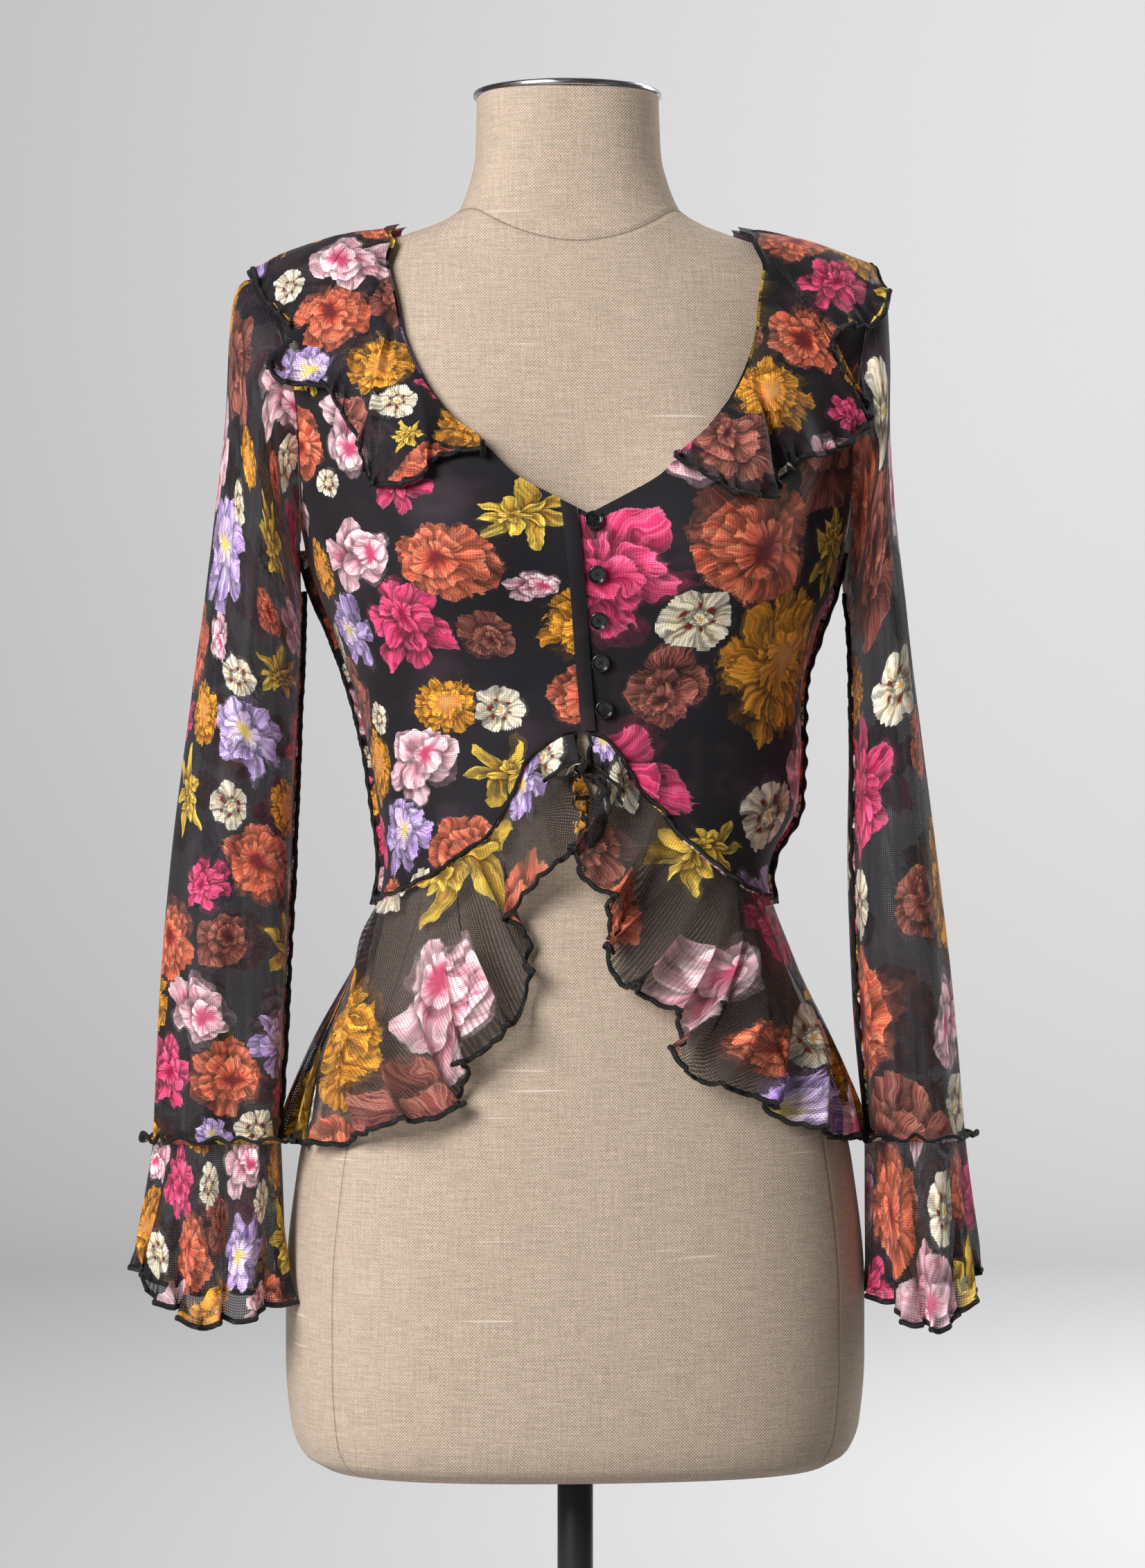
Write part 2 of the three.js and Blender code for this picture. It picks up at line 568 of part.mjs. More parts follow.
function sleevePoint(rings, place, turn) {
  const ring = (column) => read(rings, place, column);
  const cosine = Math.cos(turn);
  const rise = (1 + cosine) / 2;
  const x = mix(ring("innerX"), ring("outerX"), rise ** ring("bend"));
  const z = mix(ring("innerZ"), ring("outerZ"), rise);
  const y = ring("middle") - ring("depth") * Math.sin(turn);
  const strength = softStep((place - SLEEVE_FOLDS.start) / SLEEVE_FOLDS.fadeIn);
  const fold = SLEEVE_FOLDS.depth * strength * Math.cos(SLEEVE_FOLDS.count * turn + SLEEVE_FOLDS.turned);
  return new THREE.Vector3(x + fold * cosine, y - fold * Math.sin(turn), z);
}

function sleeve(name, side, rings) {
  const last = rings.length - 1;
  const pointAt = (u, v) => {
    const point = sleevePoint(rings, v * last, 2 * Math.PI * u);
    point.x += ARMHOLE_GAP * (1 - softStep(v / ARMHOLE_GAP_LENGTH));
    return placed(point, side);
  };
  return wall(name, MATERIALS.print, 20, 13, pointAt, true);
}

function cuffPoint(rings, hem, down, turn) {
  const last = rings.length - 1;
  const top = sleevePoint(rings, last, turn);
  top.z -= 2 * SEAM_GAP;
  const shifted = turn + CUFF_WAVE.along * down * Math.sin(CUFF_WAVE.count * turn);
  const [cosine, sine] = [Math.cos(shifted), Math.sin(shifted)];
  const wave = CUFF_WAVE.out * Math.cos(CUFF_WAVE.count * turn);
  const middleX = (hem.innerX + hem.outerX) / 2;
  const x = middleX + ((hem.outerX - hem.innerX) / 2) * cosine + wave * cosine;
  const y = hem.middle - hem.depth * sine - wave * sine;
  const lowest = sine > 0 ? hem.frontZ : hem.backZ;
  const z = mix(mix(hem.innerZ, hem.outerZ, (1 + cosine) / 2), lowest, sine * sine) - CUFF_WAVE.lift * wave;
  return top.lerp(new THREE.Vector3(x, y, z), down ** CUFF_WAVE.spread);
}

function cuff(name, side, rings, hem) {
  const pointAt = (u, v) => placed(cuffPoint(rings, hem, v, 2 * Math.PI * u), side);
  return wall(name, MATERIALS.print, 36, 3, pointAt, true);
}

// The nearest place on half a bodice panel, its way out, and how far past the panel's edge the point is.
const SKIN_COLUMNS = 12;
const SKIN_ROWS = 24;
const skinGrids = new Map();
function nearestSkin(side, isFront, point) {
  const key = `${side} ${isFront}`;
  if (!skinGrids.has(key)) {
    const grid = [];
    for (let i = 0; i <= SKIN_COLUMNS; i++)
      for (let j = 0; j <= SKIN_ROWS; j++) {
        const [out, up] = [i / SKIN_COLUMNS, j / SKIN_ROWS];
        grid.push({ out, up, place: bodicePoint(side, isFront, 0, out, up) });
      }
    skinGrids.set(key, grid);
  }
  const distance = (cell) => cell.place.distanceToSquared(point);
  const nearer = (best, cell) => (distance(cell) < distance(best) ? cell : best);
  let { out, up } = skinGrids.get(key).reduce(nearer);
  let [base, along, rise] = [null, null, null];
  for (let step = 0; step < 6; step++) {
    const small = 0.002;
    base = bodicePoint(side, isFront, 0, out, up);
    const outStep = out > 0.5 ? -small : small;
    const upStep = up > 0.5 ? -small : small;
    along = bodicePoint(side, isFront, 0, out + outStep, up).sub(base).divideScalar(outStep);
    rise = bodicePoint(side, isFront, 0, out, up + upStep).sub(base).divideScalar(upStep);
    const away = point.clone().sub(base);
    const [aa, ab, bb] = [along.dot(along), along.dot(rise), rise.dot(rise)];
    const [ar, br] = [along.dot(away), rise.dot(away)];
    const scale = aa * bb - ab * ab;
    out = Math.min(1, Math.max(0, out + (ar * bb - br * ab) / scale));
    up = Math.min(1, Math.max(0, up + (br * aa - ar * ab) / scale));
  }
  const normal = along.cross(rise).normalize();
  if (!isFront) normal.negate();
  const height = point.clone().sub(base).dot(normal);
  const past = point.clone().sub(base).addScaledVector(normal, -height).length();
  return { normal, height, past };
}

// Moves a point on the +X side until it is at least "gap" outside the bodice's middle surface.
function keepOff(side, point, gap) {
  for (const isFront of point.y < ARMHOLE.middleY ? [true, false] : [false, true]) {
    const skin = nearestSkin(side, isFront, point);
    const isNear = skin.past < FLOUNCE_OFF.edge && skin.height < gap;
    if (isNear) point.addScaledVector(skin.normal, gap - skin.height);
  }
  return point;
}

// The neck flounce. share runs from the front end (0) to the back centre (1), and out from neckline to hem.
function flouncePoint(side, table, share, out) {
  const last = table.length - 1;
  const place = share * last;
  const onBack = softStep((place - FLOUNCE_WAVE.from) / 2);
  const phase = (2 * Math.PI * FLOUNCE_WAVE.onBack * (place - last)) / (last - FLOUNCE_WAVE.from);
  const moved = place + FLOUNCE_WAVE.along * onBack * out * Math.sin(phase);
  const angle = read(table, moved, "angle");
  const isFront = angle < 90;
  const height = read(isFront ? NECK_FRONT : NECK_BACK, isFront ? angle : 180 - angle, "height");
  const start = clothPoint(angle, height - 1, OVERLAY);
  const hem = new THREE.Vector3(read(table, moved, "x"), read(table, moved, "y"), read(table, moved, "z"));
  const outward = new THREE.Vector3(
    FLOUNCE_BULGE.x * hem.x,
    FLOUNCE_BULGE.y * hem.y,
    FLOUNCE_BULGE.z * (hem.z - FLOUNCE_BULGE.level),
  ).normalize();
  const wave = FLOUNCE_WAVE.out * onBack * out ** FLOUNCE_WAVE.rise * (0.5 + 0.5 * Math.cos(phase));
  const lift = read(table, moved, "bulge") * 4 * out * (1 - out) + wave;
  const gap = FLOUNCE_OFF.seam + FLOUNCE_OFF.more * Math.min(1, FLOUNCE_OFF.soon * out);
  return keepOff(side, start.lerp(hem, out).addScaledVector(outward, lift), gap);
}

function neckFlounce(name, side, table) {
  const pointAt = (u, v) => {
    const point = flouncePoint(side, table, u, v);
    point.x = Math.max(point.x, 0.7 * SEAM_GAP);
    return placed(point, side);
  };
  return wall(name, MATERIALS.print, 48, 4, pointAt);
}

// The peplum hangs from the waist seam. turn is the seam's angle, and down runs from the seam to the hem.
function peplumPoint(side, table, turn, down, phase) {
  const strength = down ** PEPLUM_WAVE.rise;
  const angle = mix(turn, read(table, turn, "angle"), down) + PEPLUM_WAVE.along * strength * Math.sin(phase);
  const whose = side < 0 ? "right" : "left";
  const climb = Math.abs(read(WAIST_SEAM, turn + 1, whose) - read(WAIST_SEAM, turn - 1, whose)) / 2;
  const seam = read(WAIST_SEAM, turn, whose) - SEAM_GAP - STEEP_SEAM_GAP * climb;
  const height = mix(seam, read(table, turn, "height"), down);
  const room = 1 - PEPLUM_WAVE.calm * Math.sin(angle * RADIANS) ** 2;
  const wave = PEPLUM_WAVE.flare * down + PEPLUM_WAVE.out * strength * (0.5 + 0.5 * Math.cos(phase));
  return clothPoint(Math.min(angle, 360 - angle), height, wave * room);
}

function peplumFront(name, side, table) {
  const pointAt = (u, v) => {
    const turn = mix(table[0].at, 90 - SEAM_HALF_ANGLE, u);
    const phase = 2 * Math.PI * PEPLUM_WAVE.frontCount * u + Math.PI;
    return placed(peplumPoint(side, table, turn, v, phase), side);
  };
  return wall(name, MATERIALS.print, 24, 4, pointAt);
}

function peplumBack() {
  const pointAt = (u, v) => {
    const [side, table] = u < 0.5 ? [-1, PEPLUM_RIGHT] : [1, PEPLUM_LEFT];
    const turn = mix(180, 90 + SEAM_HALF_ANGLE, Math.abs(2 * u - 1));
    const phase = Math.PI * PEPLUM_WAVE.backCount * Math.abs(2 * u - 1);
    return placed(peplumPoint(side, table, turn, v, phase), side);
  };
  return wall("peplum_back", MATERIALS.print, 32, 4, pointAt);
}

// A button stands on the wearer's left front, square to the cloth.
function button(number, angle, height) {
  const profile = [
    [0, 0],
    [BUTTON_RADIUS - 0.8, 0],
    [BUTTON_RADIUS, 0.8],
    [BUTTON_RADIUS - 0.3, BUTTON_HEIGHT - 0.4],
    [BUTTON_RADIUS - 1.4, BUTTON_HEIGHT],
    [0, BUTTON_HEIGHT - 0.9],
  ];
  const mesh = turned(`button_${number}`, MATERIALS.button, profile, 12);
  const outward = clothNormal(angle, height);
  mesh.quaternion.setFromUnitVectors(new THREE.Vector3(0, 0, 1), outward);
  mesh.position.copy(placed(clothPoint(angle, height, WALL / 2 + TOUCH + 0.15), 1));
  return mesh;
}

const blouseOnForm = new THREE.Group();
blouseOnForm.add(standFoot(), standPole());
const dressed = new THREE.Group();
dressed.position.z = FORM_FOOT;
dressed.add(dressForm(), neckCap());
dressed.add(frontPanel("bodice_front_right", -1), frontPanel("bodice_front_left", 1));
dressed.add(backPanel(), frontBand());
dressed.add(sleeve("sleeve_right", -1, SLEEVE_RIGHT), sleeve("sleeve_left", 1, SLEEVE_LEFT));
dressed.add(cuff("cuff_right", -1, SLEEVE_RIGHT, CUFF_RIGHT), cuff("cuff_left", 1, SLEEVE_LEFT, CUFF_LEFT));
dressed.add(neckFlounce("neck_flounce_right", -1, FLOUNCE_RIGHT));
dressed.add(neckFlounce("neck_flounce_left", 1, FLOUNCE_LEFT));
dressed.add(peplumFront("peplum_front_right", -1, PEPLUM_RIGHT));
dressed.add(peplumFront("peplum_front_left", 1, PEPLUM_LEFT), peplumBack());
BUTTONS.forEach(({ angle, height }, i) => dressed.add(button(i + 1, angle, height)));
blouseOnForm.add(dressed);

export default blouseOnForm;
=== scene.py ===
"""A sheer floral blouse with a flounced neckline, flounced cuffs and a cut-away peplum, on a dress form.

Sizes in the tables are millimetres, and heights are measured from the underside of the dress form.
Blender's objects are in metres, with +Z up, the front towards -Y and the wearer's left arm towards +X.
"""

import math

import bpy
import numpy as np
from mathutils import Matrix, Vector
from mathutils.bvhtree import BVHTree


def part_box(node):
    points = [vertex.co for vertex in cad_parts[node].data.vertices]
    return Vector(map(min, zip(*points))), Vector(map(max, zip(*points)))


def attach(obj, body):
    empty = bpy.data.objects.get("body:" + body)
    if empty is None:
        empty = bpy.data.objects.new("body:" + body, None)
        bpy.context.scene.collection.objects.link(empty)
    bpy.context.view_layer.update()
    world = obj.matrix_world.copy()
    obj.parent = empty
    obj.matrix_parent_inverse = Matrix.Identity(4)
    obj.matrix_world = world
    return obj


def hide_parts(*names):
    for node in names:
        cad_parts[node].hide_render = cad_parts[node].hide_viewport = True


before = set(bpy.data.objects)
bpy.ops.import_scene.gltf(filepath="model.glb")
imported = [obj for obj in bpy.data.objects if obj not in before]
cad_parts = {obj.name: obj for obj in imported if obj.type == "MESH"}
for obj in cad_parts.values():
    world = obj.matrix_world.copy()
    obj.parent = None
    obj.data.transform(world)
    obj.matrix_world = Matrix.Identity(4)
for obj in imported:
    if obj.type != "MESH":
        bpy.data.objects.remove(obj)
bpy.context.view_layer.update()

bl_info = {
    "name": "Flounced floral blouse",
    "version": (1, 0, 0),
    "blender": (4, 5, 0),
    "location": "View3D > Sidebar > Blouse",
    "description": "Builds a sheer flounced blouse on a dress form",
    "category": "Object",
}

MM = 0.001
BODY = "root"
FORM_TOP = 798.0
FORM_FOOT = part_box("form_torso")[1].z / MM - FORM_TOP


def rows(columns, *lines):
    """A table with named columns."""
    return dict(zip(columns.split(), np.array(lines, float).T))


# The form: half width of the round core, reach of the shoulder past it, and depths from the pole's axis.
FORM = rows(
    "at core shoulder front back",
    (-2.5, 149, 0, 92, 95),
    (5, 160.5, 0, 102, 105),
    (22, 167, 0, 108, 112),
    (60, 170, 0, 112, 117),
    (100, 170, 0, 113, 119),
    (171, 163, 0, 111, 118),
    (230, 148, 0, 106, 108),
    (290, 123, 0, 97, 92),
    (347, 107, 0, 88, 80),
    (390, 111, 0, 90, 82),
    (440, 121, 0, 95, 90),
    (490, 133, 0, 101, 97),
    (531, 141, 0, 104, 101),
    (570, 144, 0, 101, 103),
    (610, 137, 13, 93, 104),
    (650, 122, 38, 82, 100),
    (675, 104, 66, 72, 92),
    (690, 92, 80, 65, 84),
    (700, 84, 66, 61, 78),
    (708, 79, 47, 58, 74),
    (716, 74, 26, 56, 70),
    (724, 69, 8, 54, 66),
    (732, 64.5, 0, 53, 62),
    (747, 58.5, 0, 52.5, 57),
    (765, 54.5, 0, 52.5, 54.5),
    (798, 53.4, 0, 53, 53.6),
)
FORM_LOW = -2.5
SQUARENESS = 0.04
SHOULDER_POWER = 5
LEAN = rows("at x", (500, 0), (620, -2), (700, -3), (760, -4.2), (800, -4.6))
BUST = {"rise": 27, "across": 74, "width": 40, "height": 528, "above": 58, "below": 44, "fade": 1.6}
BRIDGE = 0.6

# How far the bodice stands off the form at its sides, front and back.
EASE = rows(
    "at side front back",
    (170, 4.5, 5, 5),
    (347, 5.5, 5, 6),
    (440, 6, 4, 6),
    (487, 10.5, 3.6, 5),
    (515, 15, 3.4, 4.5),
    (538, 17, 3.4, 4),
    (600, 12, 3.4, 4),
    (660, 6, 4.6, 4.6),
    (690, 6.5, 4.8, 4.6),
    (720, 4.4, 4.4, 4.4),
)
BAG = {"out": 15, "height": 386, "above": 52, "below": 26, "power": 4}

# Seams, by the angle from the front centre, or from the back centre for the back neckline.
WAIST_SEAM = rows(
    "at right left",
    (0, 425, 425),
    (5, 424, 421),
    (9, 420, 408),
    (14, 411, 393),
    (20, 388, 379),
    (27, 366, 364),
    (36, 354, 351),
    (45, 343, 340),
    (55, 336, 332),
    (70, 328, 327),
    (90, 322, 322),
    (130, 318, 318),
    (180, 316, 316),
)
NECK_FRONT = rows(
    "at height",
    (0, 546),
    (7.5, 557),
    (14.4, 568),
    (19, 581),
    (27.3, 600),
    (34, 618),
    (40, 636),
    (44.5, 651),
    (49.5, 672),
    (54, 690),
    (62.5, 706),
    (90, 718),
)
NECK_BACK = rows(
    "at height", (0, 688), (15, 690), (30, 695), (45, 702), (60, 709), (75, 715), (90, 718)
)
ARMHOLE = {"low": 538, "high": 692, "near": 160, "far": 180, "middle": 5, "depth": 50}
ARMHOLE_BITE = {"angle": 28, "power": 0.7, "height": 8, "from": 0.25}
SEAM_HALF_ANGLE = 0.3
FRONT_EDGE = {"low": 1.8, "high": -2.4}
BAND_WIDTH_ANGLE = 4.4
OVERLAY = 2.8

# Sleeve rings from the armhole to the wrist: outer and inner silhouette, half depth and middle in depth,
# and how strongly the ring bends round the shoulder.
SLEEVE_COLUMNS = "at outer_x outer_z inner_x inner_z depth middle bend"
SLEEVES = {
    "right": rows(
        SLEEVE_COLUMNS,
        (0, 180, 692, 160, 538, 50, 5, 3),
        (1, 191, 690, 161, 534, 52, 4, 2),
        (2, 198, 678, 161, 529, 54, 3, 1.4),
        (3, 201, 652, 161, 521, 56, 2, 1),
        (4, 203, 615, 161, 509, 57, 1, 1),
        (5, 209, 565, 161, 494, 57, -1, 1),
        (6, 217, 503, 161.5, 464, 55, -4, 1),
        (7, 226, 430, 163, 414, 51, -9, 1),
        (8, 235, 350, 165, 345, 44, -15, 1),
        (9, 241, 270, 168.5, 269, 35, -22, 1),
        (10, 244.5, 189, 172.5, 189, 26, -28, 1),
    ),
    "left": rows(
        SLEEVE_COLUMNS,
        (0, 180, 692, 160, 538, 50, 5, 3),
        (1, 185, 690, 161, 534, 53, 4, 2),
        (2, 187, 676, 161, 529, 56, 3, 1.4),
        (3, 187, 651, 161, 521, 59, 2, 1),
        (4, 186, 615, 161, 509, 61, 1, 1),
        (5, 187.5, 566, 162.5, 494, 62, -1, 1),
        (6, 193.5, 504, 163.5, 464, 61, -4, 1),
        (7, 202, 430, 163.5, 414, 58, -9, 1),
        (8, 211, 350, 162, 345, 52, -15, 1),
        (9, 219, 270, 163.5, 269, 44, -22, 1),
        (10, 225, 189, 169.5, 189, 35, -28, 1),
    ),
}
SLEEVE_FOLDS = {"count": 5, "depth": 2.6, "start": 5, "fade_in": 4, "turned": 0.6}
ARMHOLE_GAP = 0.4
ARMHOLE_GAP_LENGTH = 0.25
CUFF_COLUMNS = ("outer_x", "inner_x", "depth", "middle", "outer_z", "inner_z", "front_z", "back_z")
CUFFS = {
    "right": dict(zip(CUFF_COLUMNS, (253, 171.5, 38, -34, 119, 100, 89, 98))),
    "left": dict(zip(CUFF_COLUMNS, (229, 172, 43, -36, 113, 102, 84, 98))),
}
CUFF_WAVE = {"count": 9, "out": 5.5, "along": 0.1, "lift": 0.4, "spread": 1.1}

# The flounce at the neck: where each station starts on the neckline, by its angle, and where its hem hangs.
FLOUNCE_COLUMNS = "at angle x y z bulge"
FLOUNCE_BACK = (
    (17, 122, 165, 60, 664, 6), (18, 140, 128, 90, 633, 8), (19, 160, 70, 112, 612, 8),
    (20, 180, 0, 119, 605, 7),
)
FLOUNCES = {
    "right": rows(
        FLOUNCE_COLUMNS,
        (0, 20, 55, -117, 578, 0),
        (1, 24, 68, -116, 583, 1),
        (2, 29, 82, -117, 580, 2),
        (3, 34, 93, -121, 570, 4),
        (4, 39, 106, -112, 564, 5),
        (5, 44, 119, -101, 565, 6),
        (6, 48, 125, -90, 583, 2),
        (7, 53, 133, -86, 600, 3),
        (8, 58, 140, -84, 614, 5),
        (9, 63, 148, -70, 624, 3),
        (10, 70, 166, -62, 624, 5),
        (11, 76, 177, -58, 634, 6),
        (12, 82, 163, -50, 652, 1),
        (13, 87, 173, -40, 668, 2),
        (14, 92, 181, -29, 680, 3),
        (15, 98, 186, -6, 697, 4),
        (16, 108, 186, 24, 695, 4),
        *FLOUNCE_BACK,
    ),
    "left": rows(
        FLOUNCE_COLUMNS,
        (0, 18, 49, -114, 580, 0),
        (1, 22, 66, -121, 568, 2),
        (2, 27, 86, -125, 559, 5),
        (3, 32, 103, -122, 557, 6),
        (4, 37, 112, -107, 570, 2),
        (5, 42, 121, -102, 580, 3),
        (6, 47, 141, -82, 585, 4),
        (7, 52, 159, -64, 597, 5),
        (8, 57, 168, -60, 611, 6),
        (9, 62, 150, -63, 634, 1),
        (10, 67, 143, -64, 646, 1),
        (11, 73, 154, -58, 658, 2),
        (12, 80, 171, -46, 662, 5),
        (13, 87, 181, -37, 673, 4),
        (14, 93, 183, -20, 687, 3),
        (15, 99, 176, -4, 700, 4),
        (16, 109, 178, 26, 692, 4),
        *FLOUNCE_BACK,
    ),
}
# How far the flounce is kept off the bodice: at its seam, how much more below, and how soon.
FLOUNCE_OFF = {"seam": 1.0, "more": 4.8, "soon": 2.5}
FLOUNCE_BULGE = {"x": 0.3, "y": 1.1, "z": 0.5, "level": 560}
FLOUNCE_WAVE = {"on_back": 4, "out": 10, "along": 0.16, "rise": 1.3, "from": 15.5}

# The peplum: for each angle of the waist seam, the angle and height of its hem or front edge.
PEPLUMS = {
    "right": rows(
        "at angle height",
        (3, 0.6, 386),
        (12, 8.5, 355),
        (20, 14.2, 328),
        (28, 15.2, 299),
        (36, 17, 262),
        (43, 20.2, 238),
        (50, 23.5, 219),
        (60, 32, 206),
        (75, 48, 192),
        (90, 67, 188),
        (120, 108, 186),
        (180, 180, 184),
    ),
    "left": rows(
        "at angle height",
        (1.5, 3.6, 372),
        (12, 0.6, 346),
        (22, 3, 321),
        (30, 7, 298),
        (38, 10.5, 277),
        (46, 15, 262),
        (54, 18.8, 246),
        (62, 20.5, 229),
        (70, 29, 216),
        (80, 39.5, 207),
        (90, 58, 191),
        (120, 106, 187),
        (180, 180, 184),
    ),
}
PEPLUM_WAVE = {
    "front_count": 3.5,
    "back_count": 8,
    "out": 13,
    "along": 3.2,
    "rise": 1.2,
    "flare": 5,
    "calm": 0.72,
}
PEPLUM_OFF = 2.0
SEAM_GAP = 0.5
STEEP_SEAM_GAP = 1.1
BUTTONS = ((0.9, 542), (1.4, 514), (1.9, 489), (2.6, 465), (3.7, 438))
SIDES = {"right": -1, "left": 1}

# Waves along the edges: pitch, height, reach from the edge, and the share by which they roll over.
WAVES = {
    "cuff": (24.0, 3.0, 40.0, 0.5),
    "cuff_edge": (12.0, 2.6, 9.0, 0.8),
    "flounce": (46.0, 3.5, 20.0, 0.9),
    "flounce_edge": (13.0, 2.2, 8.0, 0.8),
    "peplum_front": (36.0, 6.0, 60.0, 0.9),
    "peplum_back": (36.0, 6.0, 60.0, 0.8),
    "peplum_edge": (14.0, 2.2, 8.0, 0.8),
    "opening": (30.0, 5.0, 26.0, 0.9),
    "opening_edge": (13.0, 2.2, 7.0, 0.8),
}
# Frills of seam allowance: width, pitch and swing of their waves, how far they lift, and half a flower's
# width.
FRILLS = {
    "side_seam": (3.4, 13.0, 2.6, 0.5, 14.0),
    "inseam": (1.6, 17.0, 1.4, 0.1, 14.0),
    "cuff_seam": (7.0, 16.0, 2.2, 0.25, 14.0),
    "waist_seam": (1.8, 15.0, 1.0, 0.1, 14.0),
    "waist_gather": (17.0, 19.0, 4.0, 0.12, 30.0),
}
# Width and thickness of the overlocked edges of hems and of frills.
HEM_EDGE = (3.4, 2.4)
FRILL_EDGE = (2.8, 2.0)
# Half a flower's width in millimetres for each metre of the width set for it.
PRINT_SCALE = {"bodice": 500, "sleeve": 500, "cuff": 460, "flounce": 470, "peplum": 480}


def mix(a, b, t):
    return a + (b - a) * t


def soft_step(t):
    c = np.clip(t, 0, 1)
    return c * c * (3 - 2 * c)


def read(table, column, place):
    """A column of a table at places between its rows, on a smooth curve that never overshoots."""
    at, value = table["at"], table[column]
    place = np.clip(place, at[0], at[-1])
    i = np.clip(np.searchsorted(at, place, side="right") - 1, 0, len(at) - 2)
    slope = np.diff(value) / np.diff(at)
    product, total = slope[:-1] * slope[1:], slope[:-1] + slope[1:]
    inner = np.where(product > 0, 2 * product / np.where(total == 0, 1, total), 0)
    tangent = np.concatenate(([slope[0]], inner, [slope[-1]]))
    span = at[i + 1] - at[i]
    t = (place - at[i]) / span
    return (
        (2 * t**3 - 3 * t**2 + 1) * value[i]
        + (t**3 - 2 * t**2 + t) * span * tangent[i]
        + (3 * t**2 - 2 * t**3) * value[i + 1]
        + (t**3 - t**2) * span * tangent[i + 1]
    )


def unit(vectors):
    return vectors / np.maximum(np.linalg.norm(vectors, axis=-1, keepdims=True), 1e-9)


def form_point(angle, height, bridge=0.0):
    """A point of the dress form. The angle is in degrees from the front centre towards +X."""
    angle, height = np.broadcast_arrays(np.asarray(angle, float), np.asarray(height, float))
    a = np.radians(angle)
    s, c = np.sin(a), np.cos(a)
    reach = read(FORM, "shoulder", height) * np.sign(s) * np.abs(s) ** SHOULDER_POWER
    x = read(FORM, "core", height) * (s + SQUARENESS * np.sin(3 * a)) / (1 - SQUARENESS) + reach
    depth = mix(read(FORM, "back", height), read(FORM, "front", height), (1 + c) / 2)
    y = -depth * (c - SQUARENESS * np.cos(3 * a)) / (1 - SQUARENESS)
    across = np.exp(-(((np.abs(x) - BUST["across"]) / BUST["width"]) ** 2))
    across = np.where(np.abs(x) < BUST["across"], mix(across, 1, bridge), across)
    spread = np.where(height > BUST["height"], BUST["above"], BUST["below"])
    upright = np.exp(-(((height - BUST["height"]) / spread) ** 2))
    y = y - BUST["rise"] * across * upright * soft_step(c * BUST["fade"])
    return np.stack([x, y, height], -1)


def cloth_normal(angle, height):
    step = 0.5
    along = form_point(angle + step, height, BRIDGE) - form_point(angle - step, height, BRIDGE)
    up = form_point(angle, height + step, BRIDGE) - form_point(angle, height - step, BRIDGE)
    return unit(np.cross(along, up))


def cloth_point(angle, height, lift=0.0):
    """A point of the bodice's middle surface, or of cloth that lies lift outside it."""
    c = np.cos(np.radians(angle))
    flat = np.where(c > 0, read(EASE, "front", height), read(EASE, "back", height))
    ease = mix(read(EASE, "side", height), flat, c * c) + lift
    return form_point(angle, height, BRIDGE) + cloth_normal(angle, height) * ease[..., None]


def placed(points, side):
    """Points worked out on the +X side, put on their own side and leaning with the form."""
    points = points.copy()
    points[..., 0] = points[..., 0] * side + read(LEAN, "x", points[..., 2])
    return points


def armhole_point(height, is_front):
    middle = (ARMHOLE["low"] + ARMHOLE["high"]) / 2
    cosine = np.clip((height - middle) / (ARMHOLE["high"] - middle), -1, 1)
    turn = ARMHOLE["depth"] * np.sqrt(1 - cosine * cosine) * (-1 if is_front else 1)
    x = mix(ARMHOLE["near"], ARMHOLE["far"], ((1 + cosine) / 2) ** 3)
    return np.stack([x, ARMHOLE["middle"] + turn, height], -1)


def bodice_point(side, is_front, centre, out, up):
    """A point of half a panel on the +X side: out runs from the centre to the side, up from waist to neck."""
    neck = NECK_FRONT if is_front else NECK_BACK
    whose = "right" if side < 0 else "left"
    side_height = mix(read(WAIST_SEAM, whose, 90.0), read(neck, "height", 90.0), up)
    t = (side_height - ARMHOLE["low"]) / (ARMHOLE["high"] - ARMHOLE["low"])
    bite = ARMHOLE_BITE["angle"] * np.sin(np.pi * np.clip(t, 0, 1)) ** ARMHOLE_BITE["power"]
    reach = 90 - SEAM_HALF_ANGLE - bite

    def height_at(turn):
        seam = read(WAIST_SEAM, whose, np.abs(turn) if is_front else 180 - turn)
        return mix(seam, read(neck, "height", np.abs(turn)), up)

    def skin_at(turn):
        angle, height = turn if is_front else 180 - turn, height_at(turn)
        spread = np.where(height > BAG["height"], BAG["above"], BAG["below"])
        upright = np.exp(-(((height - BAG["height"]) / spread) ** 2))
        bag = BAG["out"] * upright * np.sin(np.radians(angle)) ** BAG["power"] * (side > 0)
        return cloth_point(angle, height, bag)

    point = skin_at(mix(centre, reach, out))
    pull = armhole_point(height_at(reach), is_front) - skin_at(reach)
    nearness = np.minimum(side_height - ARMHOLE["low"], ARMHOLE["high"] - side_height)
    share = soft_step((out - ARMHOLE_BITE["from"]) / (1 - ARMHOLE_BITE["from"]))
    share = share * np.clip(nearness / ARMHOLE_BITE["height"], 0, 1)
    return point + pull * share[..., None]


